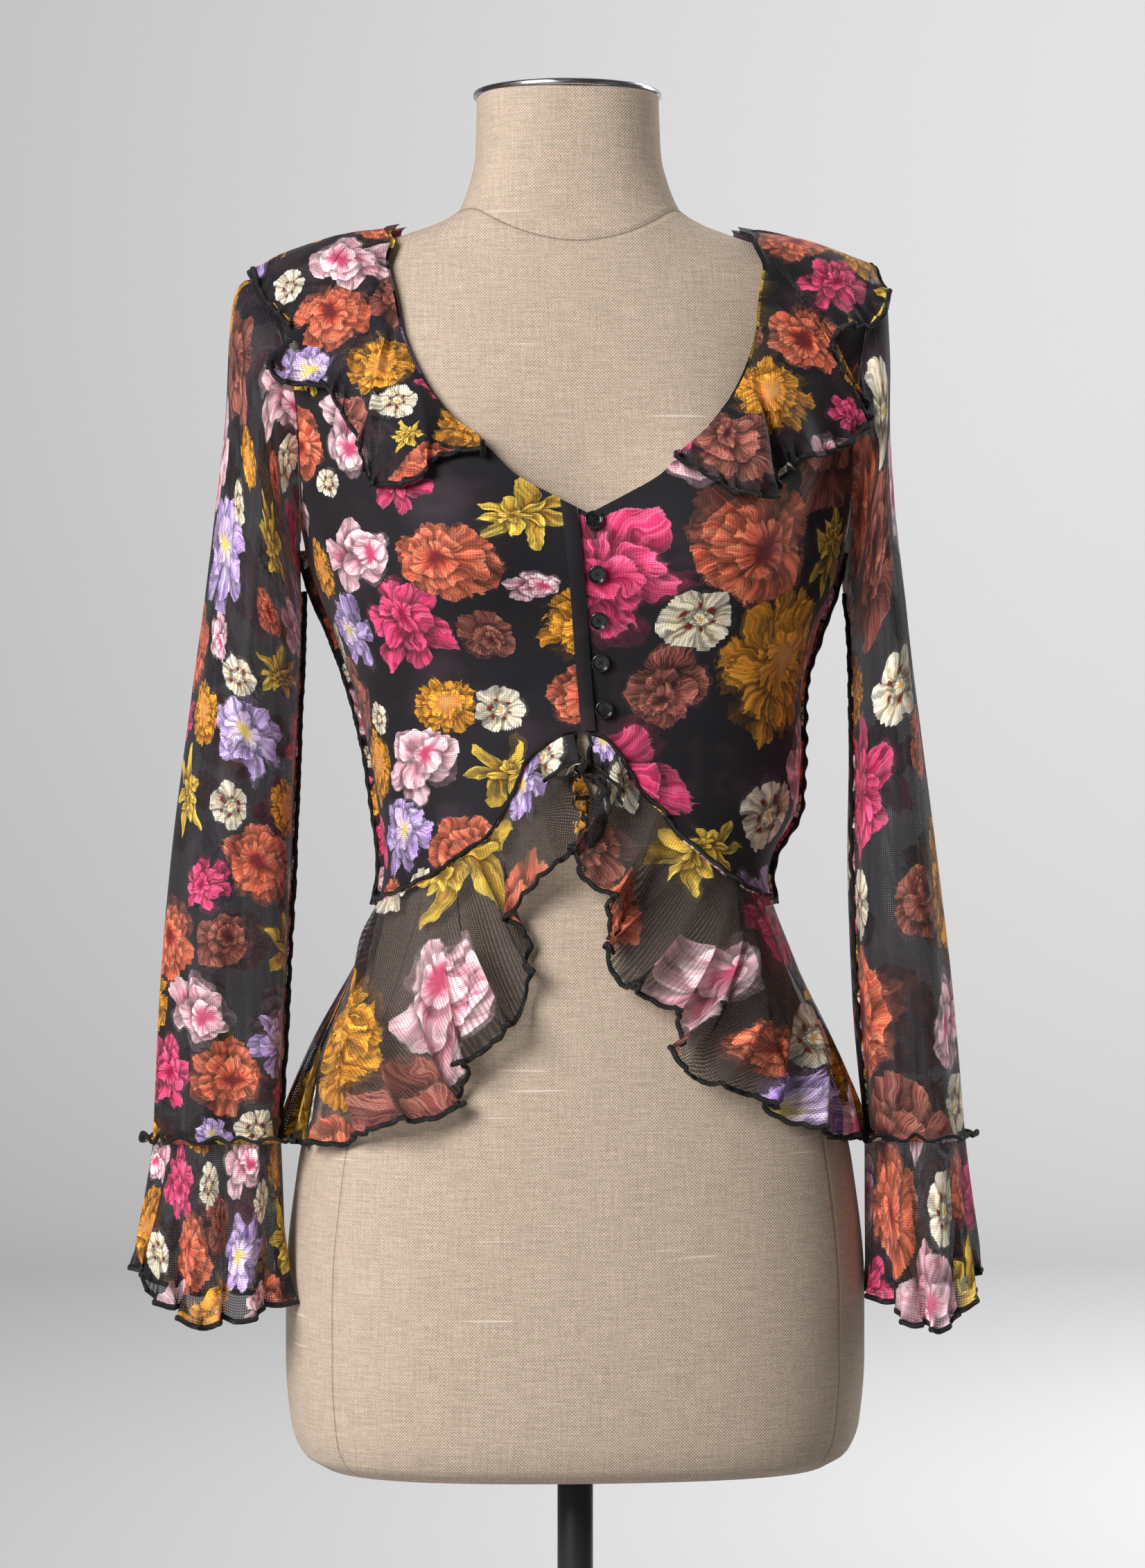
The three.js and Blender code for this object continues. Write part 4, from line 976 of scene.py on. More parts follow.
def flower_group():
    """A flower of the print at a place inside it: its colour, and how much it covers the ground."""
    petals = petals_group()
    g, given, made = new_group("Flower", {"Motif": "v"}, {"Color": "c", "Cover": "f"})
    x, y, which = g.parts(given["Motif"])
    kind = g.math("DIVIDE", g.math("FLOOR", which), len(FLOWER_SIZES))
    kind = g.plus(kind, 0.5 / len(FLOWER_SIZES))
    seed = g.times(g.math("FRACT", which), 83.0)
    drift = g.node("ShaderNodeTexNoise", {"Vector": g.joined(x, y, seed), "Scale": 1.9, "Detail": 2.0})
    bent = g.node("ShaderNodeVectorMath", {0: drift.outputs[1], 1: (0.5, 0.5, 0.5)}, operation="SUBTRACT")
    bent = g.scaled(bent.outputs[0], 0.5)
    place = g.node("ShaderNodeVectorMath", {0: g.joined(x, y), 1: bent}, operation="ADD").outputs[0]
    outer = g.parts(g.chart(kind, *OUTER_SHAPE))
    inner = g.parts(g.chart(kind, *INNER_SHAPE))
    heart = g.parts(g.chart(kind, *HEART_SHAPE))
    px, py, _ = g.parts(place)
    py = g.times(py, g.plus(1.0, heart[1]))
    frill = g.times(inner[2], 0.55)

    def whorl(share, count, radius, depth, turn, lean):
        moved = g.joined(g.times_plus(heart[2], -lean, px), py)
        node = g.node("ShaderNodeGroup", node_tree=petals)
        values = {"Place": moved, "Count": g.times(count, 10.0), "Radius": radius, "Depth": depth}
        values |= {"Power": g.times(outer[2], 5.0), "Frill": frill, "Turn": turn, "Seed": g.plus(seed, share)}
        for key, value in values.items():
            g.feed(node.inputs[key], value)
        return node.outputs

    first = whorl(0.0, outer[0], 0.98, outer[1], 0.2, 0.0)
    second = whorl(11.0, inner[0], inner[1], outer[1], 0.7, 0.5)
    third = whorl(23.0, inner[0], heart[0], g.times(outer[1], 0.7), 0.35, 0.8)
    tip, base = g.chart(kind, *TIP_COLOURS), g.chart(kind, *BASE_COLOURS)
    core, dark = g.chart(kind, *HEART_COLOURS), g.chart(kind, *DARK_COLOURS)
    vein = g.chart(kind, *VEIN_COLOURS)
    mottle = g.noise(g.joined(px, py, seed), 3.6, 3.0, 0.6)

    def petal_colour(outputs, brightness):
        body = g.blend(g.step(outputs["Along"], 0.3, 0.95), base, tip)
        body = g.blend(g.step(mottle, 0.48, 0.66, 0.0, 0.85), body, dark)
        bright = g.times(outputs["Vein"], g.step(outputs["Along"], 0.25, 0.8, 0.15, 0.62))
        body = g.blend(bright, body, vein)
        rim = g.step(outputs["Inside"], 0.07, 0.0, 0.0, 0.55)
        body = g.blend(rim, body, vein)
        return g.scaled(body, g.times(outputs["Shade"], brightness))

    colour = g.scaled(petal_colour(first, 0.9), g.step(second["Inside"], -0.22, 0.0, 1.0, 0.34))
    second_colour = g.scaled(petal_colour(second, 1.15), g.step(third["Inside"], -0.2, 0.0, 1.0, 0.38))
    colour = g.blend(g.step(second["Inside"], 0.0, 0.03), colour, second_colour)
    third_colour = g.blend(g.step(third["Along"], 0.15, 0.75, 0.9, 0.1), petal_colour(third, 1.3), core)
    colour = g.blend(g.step(third["Inside"], 0.0, 0.03), colour, third_colour)
    distance = g.length(g.joined(px, py))
    around = g.times(g.math("ARCTAN2", py, px), 6.0)
    dots = g.times(g.step(g.math("COSINE", around), 0.25, 0.8), g.step(distance, 0.26, 0.32))
    dots = g.times(dots, g.step(distance, 0.50, 0.40))
    is_primrose = g.math("COMPARE", g.math("FLOOR", which), float(PRIMROSE), 0.1)
    colour = g.blend(g.times(dots, is_primrose), colour, (0.20, 0.010, 0.010, 1))
    g.feed(made["Color"], colour)
    inside = g.math("MAXIMUM", first["Inside"], second["Inside"])
    g.feed(made["Cover"], g.step(inside, 0.0, 0.03))
    return g.tree


def shaded(name, describe):
    """A material: describe is given its graph and its flat cut, and says what its shader's inputs are."""
    material = bpy.data.materials.new(name)
    material.use_nodes = True
    g = Graph(material.node_tree)
    for key, value in describe(g, g.cut()).items():
        g.feed(material.node_tree.nodes["Principled BSDF"].inputs[key], value)
    return material


def printed_cloth(sheer, pinholes, streaks=0.0):
    """Printed stretch mesh: a dark ground with flowers, fine holes, and as much show-through as sheer."""

    def describe(g, cut):
        flower = bpy.data.node_groups.get("Flower") or flower_group()
        bloom = g.node("ShaderNodeGroup", {"Motif": g.attribute("Motif")}, node_tree=flower).outputs
        colours = bpy.context.scene.blouse_colours
        ghost = g.step(g.noise(cut, 0.022, 3.0, 0.6), 0.5, 0.72)
        ground = g.blend(ghost, (*colours.ground, 1), (*colours.shadow_print, 1))
        colour = g.blend(bloom["Cover"], ground, bloom["Color"])
        x, y, _ = g.parts(cut)
        slant = math.sqrt(2) * math.pi / bpy.context.scene.blouse_cloth.mesh_pitch
        rising, falling = (g.math("SINE", g.times(way, slant)) for way in (g.plus(x, y), g.minus(x, y)))
        hole = g.step(g.times(rising, falling), 0.15, 0.7)
        colour = g.blend(g.times(hole, pinholes), colour, (0.010, 0.009, 0.010, 1))
        values = {
            "Base Color": colour,
            "Roughness": 0.72,
            "Specular IOR Level": 0.3,
            "Sheen Weight": 0.12,
            "Sheen Roughness": 0.4,
            "Normal": g.bump(g.minus(1.0, hole), 0.35, 0.0003),
        }
        if sheer:
            thin = g.times(hole, sheer)
            if streaks:
                run = g.noise(g.stretched(x, 0.16, y, 0.006), 1.0, 3.0, 0.55)
                thin = g.times(thin, g.step(run, 0.35, 0.65, 1.0 - streaks, 1.0))
            veil = g.times(g.minus(1.0, bloom["Cover"]), 0.3 * sheer)
            values["Alpha"] = g.minus(1.0, g.math("ADD", thin, veil, clamp=True))
        return values

    return describe


def overlock_thread(g, cut):
    """Black overlocked thread, with a few glints painted along it as highlights."""
    x, y, _ = g.parts(cut)
    wave = g.math("SINE", g.times(g.times_plus(y, 0.6, x), 2 * math.pi / 0.9))
    colour = g.blend(g.step(wave, -0.8, 0.9), (0.004, 0.004, 0.004, 1), (0.020, 0.019, 0.018, 1))
    # Painted highlights: sparse grey glints painted into the thread's colour.
    colour = g.blend(g.step(g.noise(cut, 2.2, 2.0), 0.74, 0.8), colour, (0.16, 0.15, 0.13, 1))
    return {"Base Color": colour, "Roughness": 0.6, "Normal": g.bump(wave, 0.7, 0.0004)}


# Distance between the linen's threads, in millimetres.
THREAD_PITCH = 1.9


def natural_linen(g, cut):
    """Natural linen: a plain weave of uneven threads with slubs, and darker seams."""
    x, y, _ = g.parts(cut)
    wander = g.noise(cut, 0.35, 1.0)
    pitch = 2 * math.pi / THREAD_PITCH
    warp_wave, weft_wave = (g.math("SINE", g.times(g.times_plus(wander, 0.9, way), pitch)) for way in (x, y))
    weave = g.times(warp_wave, weft_wave)
    linen = bpy.context.scene.blouse_colours.linen
    colour = g.blend(g.step(weave, -0.9, 0.5), (*(0.42 * c for c in linen), 1), (*linen, 1))
    tint = g.noise(cut, 0.42, 2.0)
    colour = g.blend(g.step(tint, 0.44, 0.62, 0.0, 0.4), colour, (0.45, 0.40, 0.26, 1))
    colour = g.blend(g.step(tint, 0.56, 0.40, 0.0, 0.4), colour, (0.66, 0.45, 0.38, 1))
    weft = g.noise(g.stretched(x, 0.05, y, 1.1), 1.0, 2.0)
    warp = g.noise(g.stretched(x, 1.1, y, 0.04), 1.0, 2.0)
    colour = g.scaled(colour, g.step(weft, 0.3, 0.7, 0.90, 1.1))
    colour = g.scaled(colour, g.step(warp, 0.3, 0.7, 0.93, 1.07))
    slub = g.noise(g.stretched(x, 0.012, y, 0.34), 1.0, 1.0)
    colour = g.blend(g.step(slub, 0.72, 0.78, 0.0, 0.6), colour, (0.90, 0.80, 0.66, 1))
    base, left, right = (g.math("ABSOLUTE", part) for part in g.parts(g.attribute("Seam")))
    nearest = g.math("MINIMUM", g.math("MINIMUM", left, right), base)
    colour = g.scaled(colour, g.step(nearest, 0.2, 0.9, 0.55, 1.0))
    relief = g.plus(g.times_plus(weave, 0.5, g.times(weft, 0.6)), g.step(nearest, 0.0, 3.0, -3.0, 0.0))
    return {
        "Base Color": colour,
        "Roughness": 0.9,
        "Specular IOR Level": 0.2,
        "Sheen Weight": 0.15,
        "Normal": g.bump(relief, 0.6, 0.0004),
    }


def turned_chrome(g, cut):
    """Turned chrome with fine rings and faint scuffs."""
    x, y, _ = g.parts(cut)
    scuff = g.noise(g.stretched(x, 0.05, y, 2.0), 1.0, 3.0)
    colour = g.blend(g.step(scuff, 0.4, 0.75), (0.62, 0.62, 0.63, 1), (0.42, 0.42, 0.44, 1))
    return {"Base Color": colour, "Roughness": g.step(scuff, 0.3, 0.8, 0.16, 0.38), "Metallic": 1.0}


def coated_steel(g, cut):
    """Black powder-coated steel with a fine grain."""
    grain = g.noise(cut, 1.4, 3.0)
    colour = g.blend(g.step(grain, 0.35, 0.7), (0.012, 0.013, 0.015, 1), (0.030, 0.032, 0.036, 1))
    rough = g.step(grain, 0.3, 0.7, 0.32, 0.5)
    return {"Base Color": colour, "Roughness": rough, "Normal": g.bump(grain, 0.12, 0.0003)}


def moulded_button(g, cut):
    """Glossy black plastic with faint clouds."""
    cloud = g.noise(cut, 0.35, 3.0)
    colour = g.blend(g.step(cloud, 0.4, 0.7), (0.004, 0.004, 0.005, 1), (0.022, 0.021, 0.024, 1))
    return {"Base Color": colour, "Roughness": g.step(cloud, 0.3, 0.7, 0.14, 0.26), "Coat Weight": 0.8}


FINISHES = {
    "bodice_mesh": printed_cloth(0.0, 0.45),
    "flounce_mesh": printed_cloth(0.28, 0.32),
    "sleeve_mesh": printed_cloth(0.5, 0.2, 0.8),
    "cuff_mesh": printed_cloth(0.5, 0.2),
    "peplum_mesh": printed_cloth(0.72, 0.15),
    "overlock_thread": overlock_thread,
    "natural_linen": natural_linen,
    "turned_chrome": turned_chrome,
    "coated_steel": coated_steel,
    "moulded_button": moulded_button,
}


def finish_of(name):
    """The material of a finish, made once."""
    return bpy.data.materials.get(name) or shaded(name, FINISHES[name])


def overlock(name, edge, size, overlap=0.35):
    """An overlocked edge, size wide and thick: a flat tube of thread that wraps the edge of a cloth."""
    line, out, normal = edge
    width, thick = size
    turn = np.linspace(0, 2 * np.pi, 9)
    middle = line + out * (overlap * width / 2)
    profile = (
        np.cos(turn)[None, :, None] * out[:, None] * width / 2
        + np.sin(turn)[None, :, None] * normal[:, None] * thick / 2
    )
    grid = middle[:, None] + profile
    length = steps_along(grid, 0)[:, :1] + 0 * turn[None, :]
    cut = np.stack([length, width * turn[None, :] / 3 + 0 * length], -1)
    made = mesh_object(name, grid, True, cut)
    return settle(made, finish_of("overlock_thread"), "printed_mesh")


def cloth_object(name, cloth, finish, cut, reach, seed, *nodes):
    """A cloth piece with its print. A reach of 0 leaves the flowers out."""
    if reach:
        motifs = motif_corners(cut, reach, seed)
    else:
        motifs = np.full((*corners(cut).shape[:2], 3), NO_FLOWER[0])
    made = mesh_object(name, cloth.points, cloth.closed, cut, motifs)
    return settle(made, finish_of(finish), "printed_mesh", *nodes)


def panel(node, cloth, finish, cut, reach, seed):
    """The thin printed shell of a node of the solids."""
    return cloth_object(f"{node}_cloth", cloth, finish, cut, reach, seed, node)


def print_reach(kind, size):
    """Half a flower's width on a kind of piece, in millimetres, where size is "small" or "large"."""
    return PRINT_SCALE[kind] * getattr(bpy.context.scene.blouse_cloth, f"{size}_print")


def joined_lines(*pieces):
    """Several edges end to end as one line, with its ways out and normals."""
    return [np.concatenate(part) for part in zip(*pieces)]


def front_panel(side_name):
    side = SIDES[side_name]

    def place(u, v):
        up = 1 - (1 - v) ** 1.5
        centre = side * mix(FRONT_EDGE["low"], FRONT_EDGE["high"], up) + SEAM_HALF_ANGLE / 2
        return placed(bodice_point(side, True, centre, u**1.25, up), side)

    return Cloth(130, 160, place)


def back_panel():
    def place(u, v):
        up = 1 - (1 - v) ** 1.5
        halves = [
            placed(bodice_point(side, False, 0.0, np.abs(2 * u - 1), up), side) for side in (-1, 1)
        ]
        return np.where((u < 0.5)[..., None], *halves)

    return Cloth(200, 140, place)


def build_bodice():
    for side_name, size, seed in (("right", "small", 11), ("left", "large", 12)):
        cloth = front_panel(side_name)
        cloth.crease(*BODICE_CREASES[side_name])
        cut, reach = body_cut(cloth.points), print_reach("bodice", size)
        made = panel(f"bodice_front_{side_name}", cloth, "bodice_mesh", cut, reach, seed)
        line, out, normal = cloth.edge("right")
        below = line[:, 2] < ARMHOLE["low"] - 4
        seam_line = line[below], normal[below], out[below]
        seam = frill("side_seam", f"side_seam_{side_name}", 30 + seed, *seam_line)
    cloth = back_panel()
    cloth.crease(*BODICE_CREASES["back"])
    cut, reach = body_cut(cloth.points, 1), print_reach("bodice", "large")
    made = panel("bodice_back", cloth, "bodice_mesh", cut, reach, 13)


def frill(kind, name, seed, line, out, normal):
    """A narrow frill of seam allowance that stands off a line, with an overlocked edge."""
    width, pitch, swing, lift, reach = FRILLS[kind]
    length = np.insert(np.cumsum(np.linalg.norm(np.diff(line, axis=0), axis=1)), 0, 0)
    count = max(8, int(length[-1] / 0.9))
    place = np.linspace(0, length[-1], count)

    def along(values):
        return np.stack([np.interp(place, length, values[:, k]) for k in range(3)], -1)

    line, out, normal = along(line), unit(along(out)), unit(along(normal))
    swing_here = swing * np.sin(2 * np.pi * (place / pitch + 0.5 * uneven(place, 3 * pitch, seed)))
    swing_here = swing_here * (0.8 + 0.4 * uneven(place, 2 * pitch, seed + 1))
    share = np.linspace(0, 1, 7)[:, None, None]
    width_here = width * (1 + 0.15 * uneven(place, 1.4 * pitch, seed + 2))
    points = line[None] + out[None] * share * width_here[None, :, None]
    points = points + normal[None] * (share**1.4 * (swing_here[None, :, None] + lift * width))
    cloth = Cloth(count - 1, 6, lambda u, v: points)
    cut = np.stack([place[None, :] + 0 * share[..., 0], share[..., 0] * width + 0 * place[None, :]], -1)
    made = cloth_object(name, cloth, "bodice_mesh", cut, reach, seed)
    return [made, overlock(f"{name}_edge", cloth.edge("last"), FRILL_EDGE)]


# Creases of the bodice: from one (u, v) to another, width as a share of the panel, and depth.
BODICE_CREASES = {
    "right": (
        ((0.95, 0.62), (0.62, 0.5), 0.045, -1.6), ((0.98, 0.52), (0.7, 0.34), 0.04, 1.2),
        ((0.97, 0.30), (0.6, 0.2), 0.04, -1.3), ((0.98, 0.12), (0.66, 0.1), 0.035, 1.1),
        ((0.02, 0.12), (0.4, 0.2), 0.045, -1.0), ((0.05, 0.30), (0.30, 0.42), 0.04, -0.9),
    ),
    "left": (
        ((0.97, 0.62), (0.66, 0.46), 0.05, -1.8), ((0.98, 0.50), (0.68, 0.30), 0.04, 1.4),
        ((0.98, 0.34), (0.62, 0.22), 0.04, -1.8), ((0.99, 0.20), (0.7, 0.08), 0.035, 1.6),
        ((0.9, 0.10), (0.5, 0.04), 0.03, -1.2), ((0.04, 0.10), (0.36, 0.26), 0.05, -1.2),
        ((0.06, 0.46), (0.3, 0.40), 0.04, -0.8),
    ),
    "back": (
        ((0.04, 0.3), (0.34, 0.24), 0.03, -1.6), ((0.96, 0.32), (0.68, 0.22), 0.03, -1.6),
        ((0.3, 0.12), (0.72, 0.14), 0.035, -1.2), ((0.2, 0.42), (0.5, 0.36), 0.03, 1.0),
        ((0.82, 0.46), (0.56, 0.38), 0.03, 1.1), ((0.12, 0.86), (0.36, 0.7), 0.03, -1.0),
        ((0.9, 0.84), (0.66, 0.72), 0.03, -0.9),
    ),
}

# The share of the front band's width that shows, and how far it lies off the front at its edges and middle.
BAND_SHOWN = 0.74
BAND_LIFT = {"edge": OVERLAY - 0.6, "middle": 0.5}


def build_front_band():
    def place(u, v):
        angle = BAND_SHOWN * BAND_WIDTH_ANGLE * u - mix(FRONT_EDGE["low"], FRONT_EDGE["high"], v)
        low = read(WAIST_SEAM, "right", np.abs(angle)) + 1
        high = read(NECK_FRONT, "height", np.abs(angle)) - 1
        lift = BAND_LIFT["edge"] + BAND_LIFT["middle"] * np.sin(np.pi * u)
        return placed(cloth_point(angle, mix(low, high, v), lift), -1)

    cloth = Cloth(16, 130, place)
    made = panel("front_band", cloth, "bodice_mesh", body_cut(cloth.points), 0, 14)


# The row of the sleeve's grid from which its inner seam shows.
INSEAM_ROW = 90


def build_sleeves():
    for side_name, size, seed in (("right", "small", 21), ("left", "large", 22)):
        side, rings = SIDES[side_name], SLEEVES[side_name]

        def place(u, v):
            point = sleeve_point(rings, v * rings["at"][-1], 2 * np.pi * (u + 0.5))
            point[..., 0] += ARMHOLE_GAP * (1 - soft_step(v / ARMHOLE_GAP_LENGTH))
            return placed(point, side)

        cloth = Cloth(150, 220, place, closed=True)
        cloth.crease(*SLEEVE_CREASES[side_name])
        reach = print_reach("sleeve", size)
        made = panel(f"sleeve_{side_name}", cloth, "sleeve_mesh", sleeve_cut(cloth), reach, seed)
        inner = np.argmin(side * cloth.points[INSEAM_ROW, :-1, 0])
        line, out = cloth.points[INSEAM_ROW:, inner], cloth.normals()[INSEAM_ROW:, inner]
        turned = unit(cloth.across())[INSEAM_ROW:, inner]
        seam = frill("inseam", f"inseam_{side_name}", seed + 5, line, out, turned)


# Creases of the sleeves, given as those of the bodice are.
SLEEVE_CREASES = {
    "right": (
        ((0.30, 0.30), (0.34, 0.95), 0.02, -1.8), ((0.42, 0.45), (0.40, 0.98), 0.018, 1.6),
        ((0.20, 0.40), (0.24, 0.9), 0.02, 1.4), ((0.62, 0.3), (0.66, 0.9), 0.02, -1.8),
        ((0.75, 0.4), (0.72, 0.96), 0.02, 1.5), ((0.10, 0.10), (0.30, 0.26), 0.03, -1.6),
        ((0.88, 0.12), (0.7, 0.3), 0.03, -1.6),
    ),
    "left": (
        ((0.28, 0.34), (0.3, 0.95), 0.022, -1.8), ((0.38, 0.3), (0.40, 0.9), 0.018, 1.8),
        ((0.16, 0.42), (0.2, 0.95), 0.02, 1.2), ((0.64, 0.3), (0.62, 0.92), 0.02, -1.6),
        ((0.8, 0.36), (0.76, 0.9), 0.02, 1.5), ((0.08, 0.12), (0.26, 0.3), 0.03, -1.8),
        ((0.9, 0.1), (0.74, 0.3), 0.03, -1.5),
    ),
}


# The cuff's flat cut is this share of the length of its waved hem.
CUFF_CUT_SHARE = 0.8


def build_cuffs():
    for side_name, size, seed in (("right", "small", 31), ("left", "large", 32)):
        side, rings, hem = SIDES[side_name], SLEEVES[side_name], CUFFS[side_name]

        def place(u, v):
            return placed(cuff_point(rings, hem, v, 2 * np.pi * (u + 0.5)), side)

        cloth = Cloth(320, 48, place, closed=True)
        cloth.ripple("last", "cuff", seed)
        cloth.ripple("last", "cuff_edge", seed + 3)
        width = CUFF_CUT_SHARE * steps_along(cloth.points, 1)[-1, -1]
        deep = steps_along(cloth.points, 0)[-1].mean()
        cut = np.stack([cloth.u * width, -cloth.v * deep], -1)
        made = panel(f"cuff_{side_name}", cloth, "cuff_mesh", cut, print_reach("cuff", size), seed)
        line, out, normal = cloth.edge("first")
        trim = [
            overlock(f"cuff_{side_name}_edge", cloth.edge("last"), HEM_EDGE),
            *frill("cuff_seam", f"cuff_{side_name}_seam", seed + 5, line, normal, out),
        ]


# How far a point's resting place is looked for, and how far past an open edge it still lies on the cloth.
REST_REACH = 40
EDGE_REACH = 2


def kept_off(points, trees, gap):
    """Moves points until they are at least gap outside what they rest on, and evens the move out."""
    for smoothed in (3, 1, 0):
        moved = np.zeros_like(points)
        for spot in np.ndindex(points.shape[:2]):
            here = points[spot]
            for tree in trees:
                found, normal, _, distance = tree.find_nearest(here)
                if found is None or distance > REST_REACH:
                    continue
                normal = np.array(normal)
                height = (here - np.array(found)) @ normal
                if height < gap[spot] and distance**2 - height**2 <= EDGE_REACH**2:
                    moved[spot] += normal * (gap[spot] - height)
                    here = here + normal * (gap[spot] - height)
        for _ in range(smoothed):
            padded = np.pad(moved, ((1, 1), (1, 1), (0, 0)), "edge")
            rows_there, columns_there = moved.shape[:2]
            near = (padded[j : j + rows_there, i : i + columns_there] for j in range(3) for i in range(3))
            moved = sum(near) / 9
        points = points + moved
    return points


def evened(points, reach, share):
    """Evens points out along their rows, over reach points either way, as far as share says."""
    width = points.shape[1]
    padded = np.pad(points, ((0, 0), (reach, reach), (0, 0)), "reflect", reflect_type="odd")
    mean = sum(padded[:, k : k + width] for k in range(2 * reach + 1)) / (2 * reach + 1)
    return mix(points, mean, share[..., None])


# A height on the form well above the peplum.
ABOVE_PEPLUM = 620


def form_tree():
    """A search tree of the dress form's surface."""

    def place(u, v):
        return placed(form_point(360 * u, mix(FORM_LOW, ABOVE_PEPLUM, v)), 1)

    return skin_tree(Cloth(120, 120, place))


def skin_tree(cloth):
    """A search tree of a cloth's surface with its faces turned outwards."""
    height, width = cloth.points.shape[:2]
    index = np.arange(height * width).reshape(height, width)
    quads = corners(index[..., None])[..., 0]
    flat = cloth.points.reshape(-1, 3)
    a, b, c = (flat[quads[:, k]] for k in range(3))
    outward = cloth.normals()[:-1, :-1].reshape(-1, 3)
    if np.sum(np.cross(b - a, c - a) * outward) < 0:
        quads = quads[:, ::-1]
    faces = np.concatenate([quads[:, [0, 1, 2]], quads[:, [0, 2, 3]]])
    return BVHTree.FromPolygons(flat.tolist(), faces.tolist(), all_triangles=True)


# Flaps and creases of the neck flounce, given as those of the bodice are.
FLOUNCE_FOLDS = {
    "right": (
        ((0.475, 0.04), (0.545, 1.0), -0.075, 7.0), ((0.300, 0.04), (0.250, 1.0), 0.075, 6.0),
        ((0.330, 0.15), (0.415, 0.80), -0.02, 2.5), ((0.660, 0.10), (0.700, 1.0), -0.05, 3.0),
    ),
    "left": (
        ((0.330, 0.04), (0.390, 1.0), -0.08, 6.5), ((0.235, 0.20), (0.215, 1.0), 0.03, 3.0),
        ((0.560, 0.10), (0.620, 1.0), -0.06, 4.0),
    ),
}
FLOUNCE_CREASES = {
    "right": (((0.16, 0.1), (0.13, 1.0), 0.02, 3.0), ((0.80, 0.1), (0.80, 0.9), 0.02, 3.0)),
    "left": (
        ((0.20, 0.1), (0.11, 1.0), 0.026, 8.0), ((0.45, 0.2), (0.47, 1.0), 0.02, 3.0),
        ((0.72, 0.1), (0.70, 0.9), 0.02, 4.0),
    ),
}


# The share of the flounce, from its seam, that is evened out along its rows, and over how many points.
EVENED = {"share": 0.2, "points": 5}


def build_flounce():
    skins = {side_name: skin_tree(front_panel(side_name)) for side_name in SIDES}
    back = skin_tree(back_panel())
    for side_name, seed in (("right", 41), ("left", 42)):
        side, table = SIDES[side_name], FLOUNCES[side_name]

        def place(u, v):
            point = flounce_point(table, u, v)
            point[..., 0] = np.maximum(point[..., 0], 0.7 * SEAM_GAP)
            return placed(point, side)

        cloth = Cloth(420, 44, place)
        cut = collar_cut(cloth)
        cloth.fold(*FLOUNCE_FOLDS[side_name])
        cloth.crease(*FLOUNCE_CREASES[side_name])
        cloth.ripple("last", "flounce", seed)
        gap = FLOUNCE_OFF["seam"] + FLOUNCE_OFF["more"] * np.minimum(1, FLOUNCE_OFF["soon"] * cloth.v)
        cloth.points = kept_off(cloth.points, (skins[side_name], back), gap)
        cloth.points = evened(cloth.points, EVENED["points"], 1 - soft_step(cloth.v / EVENED["share"]))
        cloth.ripple("last", "flounce_edge", seed + 3)
        name, reach = f"neck_flounce_{side_name}", print_reach("flounce", "small")
        made = panel(name, cloth, "flounce_mesh", cut, reach, seed)
        edge = [overlock(f"{name}_edge", joined_lines(cloth.edge("left"), cloth.edge("last")), HEM_EDGE)]


# Creases of the peplum's back and flaps of its fronts, given as those of the flounce are.
PEPLUM_BACK_CREASES = (
    ((0.14, 0.1), (0.12, 1.2), 0.016, 5.0), ((0.27, 0.2), (0.26, 1.2), 0.018, 6.0),
    ((0.38, 0.1), (0.39, 1.2), 0.014, 4.0), ((0.52, 0.1), (0.51, 1.2), 0.018, 6.0),
    ((0.64, 0.2), (0.66, 1.2), 0.016, 5.0), ((0.76, 0.1), (0.77, 1.2), 0.018, 6.0),
    ((0.88, 0.2), (0.90, 1.2), 0.014, 4.0),
)
PEPLUM_FOLDS = {
    "right": (((0.90, -0.1), (0.73, 1.1), -0.13, 8.0), ((0.39, 0.0), (0.47, 1.1), -0.09, 5.0)),
    "left": (
        ((0.50, -0.05), (0.70, 1.1), -0.11, 7.0), ((0.60, 0.1), (0.85, 1.1), -0.07, 5.0),
        ((0.22, 0.2), (0.30, 1.1), -0.06, 3.0),
    ),
}


# How far the gathers at the front centre reach along the waist seam.
GATHERED = {"right": 24, "left": 34}


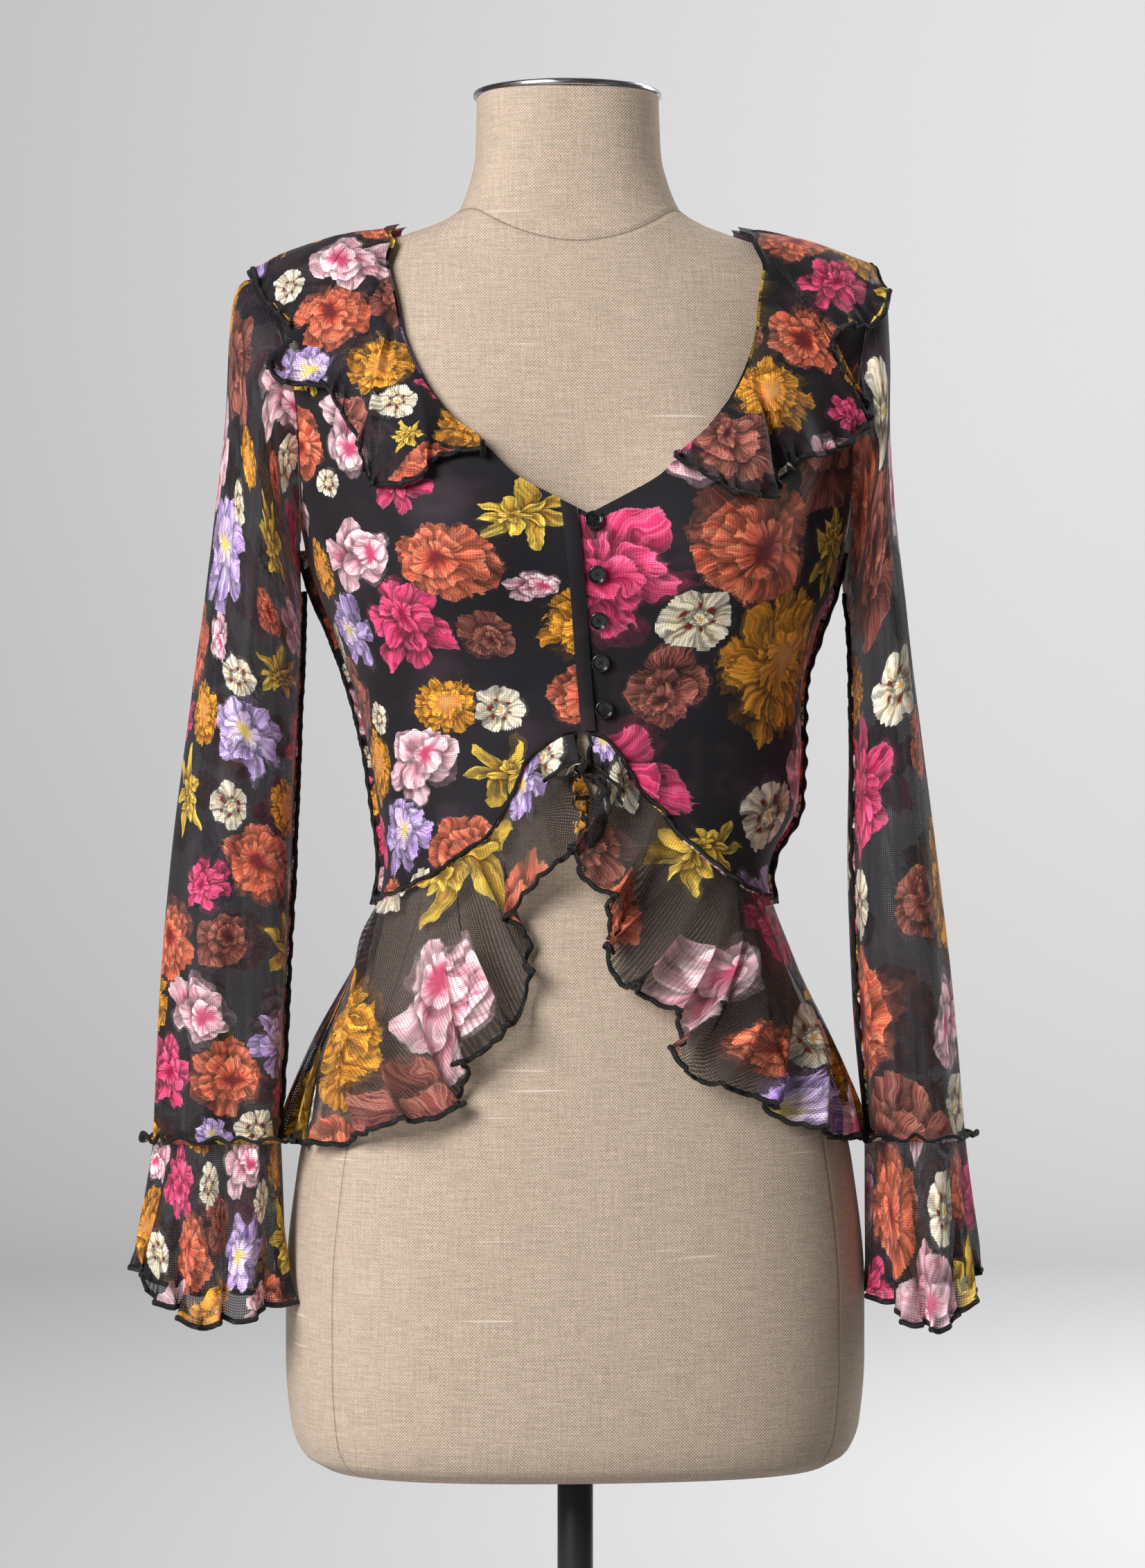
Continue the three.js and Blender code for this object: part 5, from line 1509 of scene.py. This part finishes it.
def build_peplum():
    skin = form_tree()
    reach = print_reach("peplum", "large")
    for side_name, seed in (("right", 51), ("left", 52)):
        side, table = SIDES[side_name], PEPLUMS[side_name]

        def place(u, v):
            turn = mix(table["at"][0], 90 - SEAM_HALF_ANGLE, u)
            phase = 2 * np.pi * PEPLUM_WAVE["front_count"] * u + np.pi
            return placed(peplum_point(side, table, turn, v, phase), side)

        cloth = Cloth(220, 90, place)
        cut = fan_cut(cloth)
        below_seam = soft_step(4 * cloth.v)
        cloth.fold(*PEPLUM_FOLDS[side_name])
        cloth.ripple("last", "peplum_front", seed)
        cloth.ripple("left", "opening", seed + 1, below_seam)
        cloth.points = kept_off(cloth.points, (skin,), PEPLUM_OFF + 0 * cloth.v)
        cloth.ripple("last", "peplum_edge", seed + 3)
        cloth.ripple("left", "opening_edge", seed + 4, below_seam)
        name = f"peplum_front_{side_name}"
        made = panel(name, cloth, "peplum_mesh", cut, reach, seed)
        trim = [overlock(f"{name}_edge", joined_lines(cloth.edge("left"), cloth.edge("last")), HEM_EDGE)]
        line, out, normal = cloth.edge("first")
        trim += frill("waist_seam", f"waist_seam_{side_name}", seed + 20, line, unit(out + normal), normal)
        near = np.linalg.norm(line - line[0], axis=1) < GATHERED[side_name]
        line, out, normal = line[near], out[near], normal[near]
        gather = line + 1.5 * normal, unit(0.25 * normal - out), normal
        trim += frill("waist_gather", f"waist_gather_{side_name}", seed + 30, *gather)

    def place_back(u, v):
        halves = []
        for side_name in ("right", "left"):
            side, table = SIDES[side_name], PEPLUMS[side_name]
            turn = mix(180, 90 + SEAM_HALF_ANGLE, np.abs(2 * u - 1))
            phase = np.pi * PEPLUM_WAVE["back_count"] * np.abs(2 * u - 1)
            halves.append(placed(peplum_point(side, table, turn, v, phase), side))
        return np.where((u < 0.5)[..., None], *halves)

    cloth = Cloth(400, 70, place_back)
    cut = fan_cut(cloth)
    cloth.crease(*PEPLUM_BACK_CREASES)
    cloth.ripple("last", "peplum_back", 53)
    cloth.points = kept_off(cloth.points, (skin,), PEPLUM_OFF + 0 * cloth.v)
    cloth.ripple("last", "peplum_edge", 56)
    made = panel("peplum_back", cloth, "peplum_mesh", cut, reach, 53)
    edge = [overlock("peplum_back_edge", cloth.edge("last"), HEM_EDGE)]


# A button's profile, as radii and heights, how far it stands off the cloth, and its thread's sizes.
BUTTON_PROFILE = (
    (0, 0), (4.6, 0), (5.0, 0.25), (5.3, 0.9), (5.35, 1.5), (5.2, 2.1), (4.95, 2.4), (4.7, 2.48),
    (4.45, 2.4), (4.2, 2.1), (4.0, 1.7), (3.8, 1.5), (3.5, 1.42), (2.5, 1.38), (0, 1.36),
)
BUTTON_LIFT = 1.2
THREAD = {"half": 1.1, "height": 1.55, "bow": 0.55, "thick": 0.55}


def build_buttons():
    turn = np.linspace(0, 2 * np.pi, 49)
    profile = np.array(BUTTON_PROFILE, float)
    for number, (angle, height) in enumerate(BUTTONS, 1):
        centre = placed(cloth_point(np.array(float(angle)), np.array(float(height)), BUTTON_LIFT), 1)
        outward = cloth_normal(float(angle), float(height))
        side = unit(np.cross((0, 0, 1), outward))
        up = np.cross(outward, side)

        def stood(x, y, z):
            return centre + x[..., None] * side + y[..., None] * up + z[..., None] * outward

        ring, level = profile[:, :1], profile[:, 1:] + 0 * turn[None, :]
        grid = stood(ring * np.cos(turn), ring * np.sin(turn), level)
        cut = np.stack([10 * turn[None, :] + 0 * level, steps_along(grid, 0)], -1)
        made = mesh_object(f"button_{number}_moulded", grid, True, cut)
        settle(made, finish_of("moulded_button"), "black_button", f"button_{number}")
        for k, (dx, dy) in enumerate(((1, 1), (1, -1))):
            t = np.linspace(-1, 1, 15)
            bow = THREAD["height"] + THREAD["bow"] * (1 - t**2)
            line = stood(t * dx * THREAD["half"], t * dy * THREAD["half"], bow)
            out = unit(np.broadcast_to(np.cross(outward, line[-1] - line[0]), line.shape))
            edge = line, out, np.broadcast_to(outward, line.shape)
            overlock(f"button_{number}_thread_{k}", edge, (THREAD["thick"], THREAD["thick"]), overlap=0.0)


# The form's seams: angles of the two in front and the height where they end, and the one round its neck.
# A place that far off counts as away from every seam.
FORM_SEAMS = (-53.0, 55.0)
FORM_SEAM_TOP = 330
NECK_SEAM = {"height": 729, "dip": 21, "within": 60}
OFF_SEAM = 99


def build_form():
    heights = np.unique(np.concatenate([np.linspace(FORM_LOW, FORM_TOP, 180), [0, 3, 6, 10, 15]]))
    angle, height = np.meshgrid(np.linspace(-180, 180, 241), heights)
    points = placed(form_point(angle, height), 1)
    ring = steps_along(points, 1)
    front = ring.shape[1] // 2
    cut = np.stack([ring - ring[:, front : front + 1], height], -1)
    made = mesh_object("dress_form_linen", points, True, cut)
    dip = soft_step((NECK_SEAM["within"] - np.abs(angle)) / NECK_SEAM["within"])
    base_seam = NECK_SEAM["height"] - NECK_SEAM["dip"] * dip
    girth = ring[:, -1:] / (2 * np.pi)
    seams = [height - base_seam]
    for middle in FORM_SEAMS:
        away = (angle - middle) * np.radians(1) * girth
        seams.append(np.where(height < FORM_SEAM_TOP, away, np.copysign(OFF_SEAM, away)))
    seams = np.stack(seams, -1)[:, :-1].reshape(-1, 3)
    attribute = made.data.attributes.new("Seam", "FLOAT_VECTOR", "POINT")
    attribute.data.foreach_set("vector", seams.astype(np.float32).ravel())
    settle(made, finish_of("natural_linen"), "linen", "form_torso")
    for name, level in (("dress_form_base", FORM_LOW), ("dress_form_neck_end", FORM_TOP)):
        rim = placed(form_point(np.linspace(-180, 180, 181), level), 1)
        centre = rim[:-1].mean(0)
        share = np.linspace(0, 1, 12)[:, None, None]
        grid = centre + (rim - centre)[None] * share
        cap = mesh_object(name, grid, True, grid[..., :2])
        settle(cap, finish_of("natural_linen"), "linen")


def turned_piece(name, node, profile, finish, slot, centre=0.0, segments=96):
    """A turned piece from its profile of radii and heights above the floor."""
    turn = np.linspace(0, 2 * np.pi, segments + 1)
    profile = np.array(profile, float)
    radius, height = profile[:, :1], profile[:, 1:] - FORM_FOOT
    grid = np.stack([radius * np.cos(turn) + centre, radius * np.sin(turn), height + 0 * turn], -1)
    cut = np.stack([turn[None, :] * 100 + 0 * radius, steps_along(grid, 0)], -1)
    made = mesh_object(name, grid, True, cut)
    made.data.set_sharp_from_angle(angle=math.radians(30))
    return settle(made, finish_of(finish), slot, node)


def build_stand():
    foot, pole, cap = (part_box(name) for name in ("stand_foot", "stand_pole", "form_neck_cap"))
    radius, hub_top = foot[1].x / MM, foot[1].z / MM
    hub = 17
    turned_piece(
        "round_foot",
        "stand_foot",
        (
            (0, 0), (radius - 1, 0), (radius, 1), (radius, 4.5), (radius - 0.7, 6), (radius - 2.5, 7),
            (120, 9.6), (hub + 12, 13), (hub + 4, 14.5), (hub + 0.6, 17), (hub, 20),
            (hub, hub_top - 2.5), (hub - 1, hub_top - 0.8), (hub - 3, hub_top), (0, hub_top),
        ),
        "coated_steel",
        "black_steel",
    )
    low, high, half = pole[0].z / MM, pole[1].z / MM, pole[1].x / MM
    turned_piece(
        "upright_pole",
        "stand_pole",
        (
            (0, low), (half, low), (half, high - 60), (half, high - 59), (half, high - 1),
            (half - 0.5, high), (0, high),
        ),
        "coated_steel",
        "black_steel",
    )
    base, top, centre = cap[0].z / MM, cap[1].z / MM, (cap[0].x + cap[1].x) / 2 / MM
    rim = (cap[1].x - cap[0].x) / 2 / MM
    turned_piece(
        "neck_disc",
        "form_neck_cap",
        (
            (0, base), (rim - 1, base), (rim - 0.2, base + 0.5), (rim, base + 1.2), (rim, base + 2.6),
            (rim - 0.4, base + 3.3), (rim - 1.4, base + 3.8), (rim * 0.8, base + 4.6),
            (rim * 0.5, top - 0.5), (rim * 0.2, top - 0.1), (0, top),
        ),
        "turned_chrome",
        "chrome_cap",
        centre,
        160,
    )


# The photograph's camera: its distance from the pole, its height above the floor and its turn.
CAMERA = {"distance": 2.55, "height": 0.865, "turn": -4.0, "aside": -0.0016, "lens": 99.4}


# The lights: where each stands, what it faces, its width and height. Their powers are settings.
LIGHTS = {
    "key": ((-2.4, -2.65, 2.3), (0, 0, 0.9), (1.8, 1.8)),
    "fill": ((2.6, -2.4, 1.6), (0, 0, 0.8), (1.6, 2.0)),
    "top": ((0.2, 0.2, 3.2), (0, 0, 0.8), (2.0, 2.0)),
    "backdrop": ((3.0, 1.6, 2.8), (-1.0, 7.0, 2.1), (2.4, 2.4)),
}
AIR_COLOUR = (1.0, 0.985, 0.985, 1)
# The studio paper, in millimetres: how far it reaches, and the bend from floor to backdrop.
BACKDROP_REACH = 7000.0
BACKDROP_BEND = 1800.0


def area_light(name, place, target, size, power):
    data = bpy.data.lights.new(name, "AREA")
    data.shape = "RECTANGLE"
    data.size, data.size_y = size
    data.energy = power
    lamp = bpy.data.objects.new(name, data)
    bpy.context.scene.collection.objects.link(lamp)
    lamp.location = place
    away = np.array(target, float) - np.array(place, float)
    lamp.rotation_mode = "QUATERNION"
    lamp.rotation_quaternion = Vector(away).to_track_quat("-Z", "Y")


def studio_paper(g, cut):
    """Plain pale paper."""
    pale = (*bpy.context.scene.blouse_stage.paper, 1)
    cloud = g.noise(cut, 0.0006, 2.0)
    colour = g.blend(g.step(cloud, 0.3, 0.8, 0.0, 0.04), pale, (0.6, 0.6, 0.6, 1))
    return {"Base Color": colour, "Roughness": 0.95, "Specular IOR Level": 0.1}


def build_stage():
    scene, stage = bpy.context.scene, bpy.context.scene.blouse_stage
    reach, bend = BACKDROP_REACH, BACKDROP_BEND
    turn = np.linspace(0, np.pi / 2, 13)
    curve = [(reach - bend + bend * math.sin(t), bend - bend * math.cos(t)) for t in turn]
    profile = np.array([(-reach, 0), (0, 0), *curve, (reach, reach)])
    x = np.linspace(-reach, reach, 9)[None, :]
    y, z = profile[:, :1], profile[:, 1:] - FORM_FOOT
    grid = np.stack([x + 0 * y, y + 0 * x, z + 0 * x], -1)
    paper = mesh_object("studio_backdrop", grid, False, grid[..., :2])
    paper.data.materials.append(shaded("studio_paper", studio_paper))
    for name, setting in LIGHTS.items():
        area_light(f"{name}_light", *setting, getattr(stage, f"{name}_power"))
    world = bpy.data.worlds.new("studio_air")
    scene.world = world
    world.use_nodes = True
    background = world.node_tree.nodes["Background"]
    background.inputs["Color"].default_value = AIR_COLOUR
    background.inputs["Strength"].default_value = stage.air
    turned = math.radians(CAMERA["turn"])
    data = bpy.data.cameras.new("photo_camera")
    data.lens = CAMERA["lens"]
    camera = bpy.data.objects.new("photo_camera", data)
    scene.collection.objects.link(camera)
    camera.location = (
        CAMERA["distance"] * math.sin(turned) + CAMERA["aside"] * math.cos(turned),
        -CAMERA["distance"] * math.cos(turned) + CAMERA["aside"] * math.sin(turned),
        CAMERA["height"],
    )
    camera.rotation_euler = (math.pi / 2, 0, turned)
    scene.camera = camera
    scene.view_settings.view_transform = "Standard"


def number(name, description, default, least=0.0, unit="NONE"):
    """A number among the settings."""
    return bpy.props.FloatProperty(name=name, description=description, default=default, min=least, unit=unit)


def colour(name, description, default):
    """A colour among the settings."""
    return bpy.props.FloatVectorProperty(
        name=name, description=description, default=default, subtype="COLOR", min=0, max=1
    )


class BlouseCloth(bpy.types.PropertyGroup):
    """Sizes of the blouse's cloth"""

    small_print: number(
        "Small flowers",
        "Width of the flowers on the wearer's right front, right sleeve and the flounces",
        0.050,
        0.01,
        "LENGTH",
    )
    large_print: number(
        "Large flowers",
        "Width of the flowers on the wearer's left front, left sleeve and peplum",
        0.088,
        0.01,
        "LENGTH",
    )
    mesh_pitch: number(
        "Mesh pitch", "Distance between the holes of the stretch mesh, in millimetres of the cut", 1.7, 0.5
    )


class BlouseColours(bpy.types.PropertyGroup):
    """Colours of the blouse and its form"""

    ground: colour("Ground", "Colour of the cloth between the flowers", (0.011, 0.009, 0.012))
    shadow_print: colour("Shadow print", "Colour of the faint blooms in the ground", (0.040, 0.022, 0.032))
    linen: colour("Linen", "Light colour of the form's linen", (0.72, 0.575, 0.445))


class BlouseStage(bpy.types.PropertyGroup):
    """Light and backdrop"""

    key_power: number("Key light", "Power of the light from the upper left", 180, unit="POWER")
    fill_power: number("Fill light", "Power of the light from the right", 1, unit="POWER")
    top_power: number("Top light", "Power of the light from above", 3, unit="POWER")
    backdrop_power: number("Backdrop light", "Power of the light on the backdrop", 410, unit="POWER")
    air: number("Room light", "Strength of the even light of the room", 0.05)
    paper: colour("Paper", "Colour of the floor and backdrop", (0.52, 0.515, 0.52))


class Step:
    """What the operators share: each runs one step of the build."""

    def execute(self, context):
        self.build()
        return {"FINISHED"}


class BLOUSE_OT_stand(Step, bpy.types.Operator):
    """Builds the foot, the pole and the neck disc"""

    bl_idname = "blouse.stand"
    bl_label = "Build stand"
    build = staticmethod(build_stand)


class BLOUSE_OT_form(Step, bpy.types.Operator):
    """Builds the linen dress form"""

    bl_idname = "blouse.form"
    bl_label = "Build dress form"
    build = staticmethod(build_form)


class BLOUSE_OT_bodice(Step, bpy.types.Operator):
    """Builds both fronts, the back and their side seams"""

    bl_idname = "blouse.bodice"
    bl_label = "Build bodice"
    build = staticmethod(build_bodice)


class BLOUSE_OT_front_band(Step, bpy.types.Operator):
    """Builds the folded front edge"""

    bl_idname = "blouse.front_band"
    bl_label = "Build front band"
    build = staticmethod(build_front_band)


class BLOUSE_OT_sleeves(Step, bpy.types.Operator):
    """Builds both sleeves"""

    bl_idname = "blouse.sleeves"
    bl_label = "Build sleeves"
    build = staticmethod(build_sleeves)


class BLOUSE_OT_cuffs(Step, bpy.types.Operator):
    """Builds both flounced cuffs and their seams"""

    bl_idname = "blouse.cuffs"
    bl_label = "Build cuffs"
    build = staticmethod(build_cuffs)


class BLOUSE_OT_flounce(Step, bpy.types.Operator):
    """Builds both halves of the neck flounce"""

    bl_idname = "blouse.flounce"
    bl_label = "Build neck flounce"
    build = staticmethod(build_flounce)


class BLOUSE_OT_peplum(Step, bpy.types.Operator):
    """Builds the fronts and back of the peplum and the waist seam"""

    bl_idname = "blouse.peplum"
    bl_label = "Build peplum"
    build = staticmethod(build_peplum)


class BLOUSE_OT_buttons(Step, bpy.types.Operator):
    """Builds the five buttons and their threads"""

    bl_idname = "blouse.buttons"
    bl_label = "Build buttons"
    build = staticmethod(build_buttons)


class BLOUSE_OT_stage(Step, bpy.types.Operator):
    """Builds the backdrop, the lights and the camera"""

    bl_idname = "blouse.stage"
    bl_label = "Build stage"
    build = staticmethod(build_stage)


OPERATORS = (
    BLOUSE_OT_stand,
    BLOUSE_OT_form,
    BLOUSE_OT_bodice,
    BLOUSE_OT_front_band,
    BLOUSE_OT_sleeves,
    BLOUSE_OT_cuffs,
    BLOUSE_OT_flounce,
    BLOUSE_OT_peplum,
    BLOUSE_OT_buttons,
    BLOUSE_OT_stage,
)


class BLOUSE_PT_panel(bpy.types.Panel):
    """Sizes, colours and steps of the blouse"""

    bl_label = "Blouse"
    bl_idname = "BLOUSE_PT_panel"
    bl_space_type = "VIEW_3D"
    bl_region_type = "UI"
    bl_category = "Blouse"

    def draw(self, context):
        for group in SETTINGS:
            settings, box = getattr(context.scene, group), self.layout.box()
            for key in settings.__annotations__:
                box.prop(settings, key)
        for made in OPERATORS:
            self.layout.operator(made.bl_idname)


SETTINGS = {"blouse_cloth": BlouseCloth, "blouse_colours": BlouseColours, "blouse_stage": BlouseStage}
CLASSES = (*SETTINGS.values(), *OPERATORS, BLOUSE_PT_panel)


def register():
    for made in CLASSES:
        bpy.utils.register_class(made)
    for group, made in SETTINGS.items():
        setattr(bpy.types.Scene, group, bpy.props.PointerProperty(type=made))


def unregister():
    for group in SETTINGS:
        delattr(bpy.types.Scene, group)
    for made in reversed(CLASSES):
        bpy.utils.unregister_class(made)


def main():
    register()
    for made in OPERATORS:
        getattr(bpy.ops.blouse, made.bl_idname.split(".")[1])()


if __name__ == "__main__":
    main()
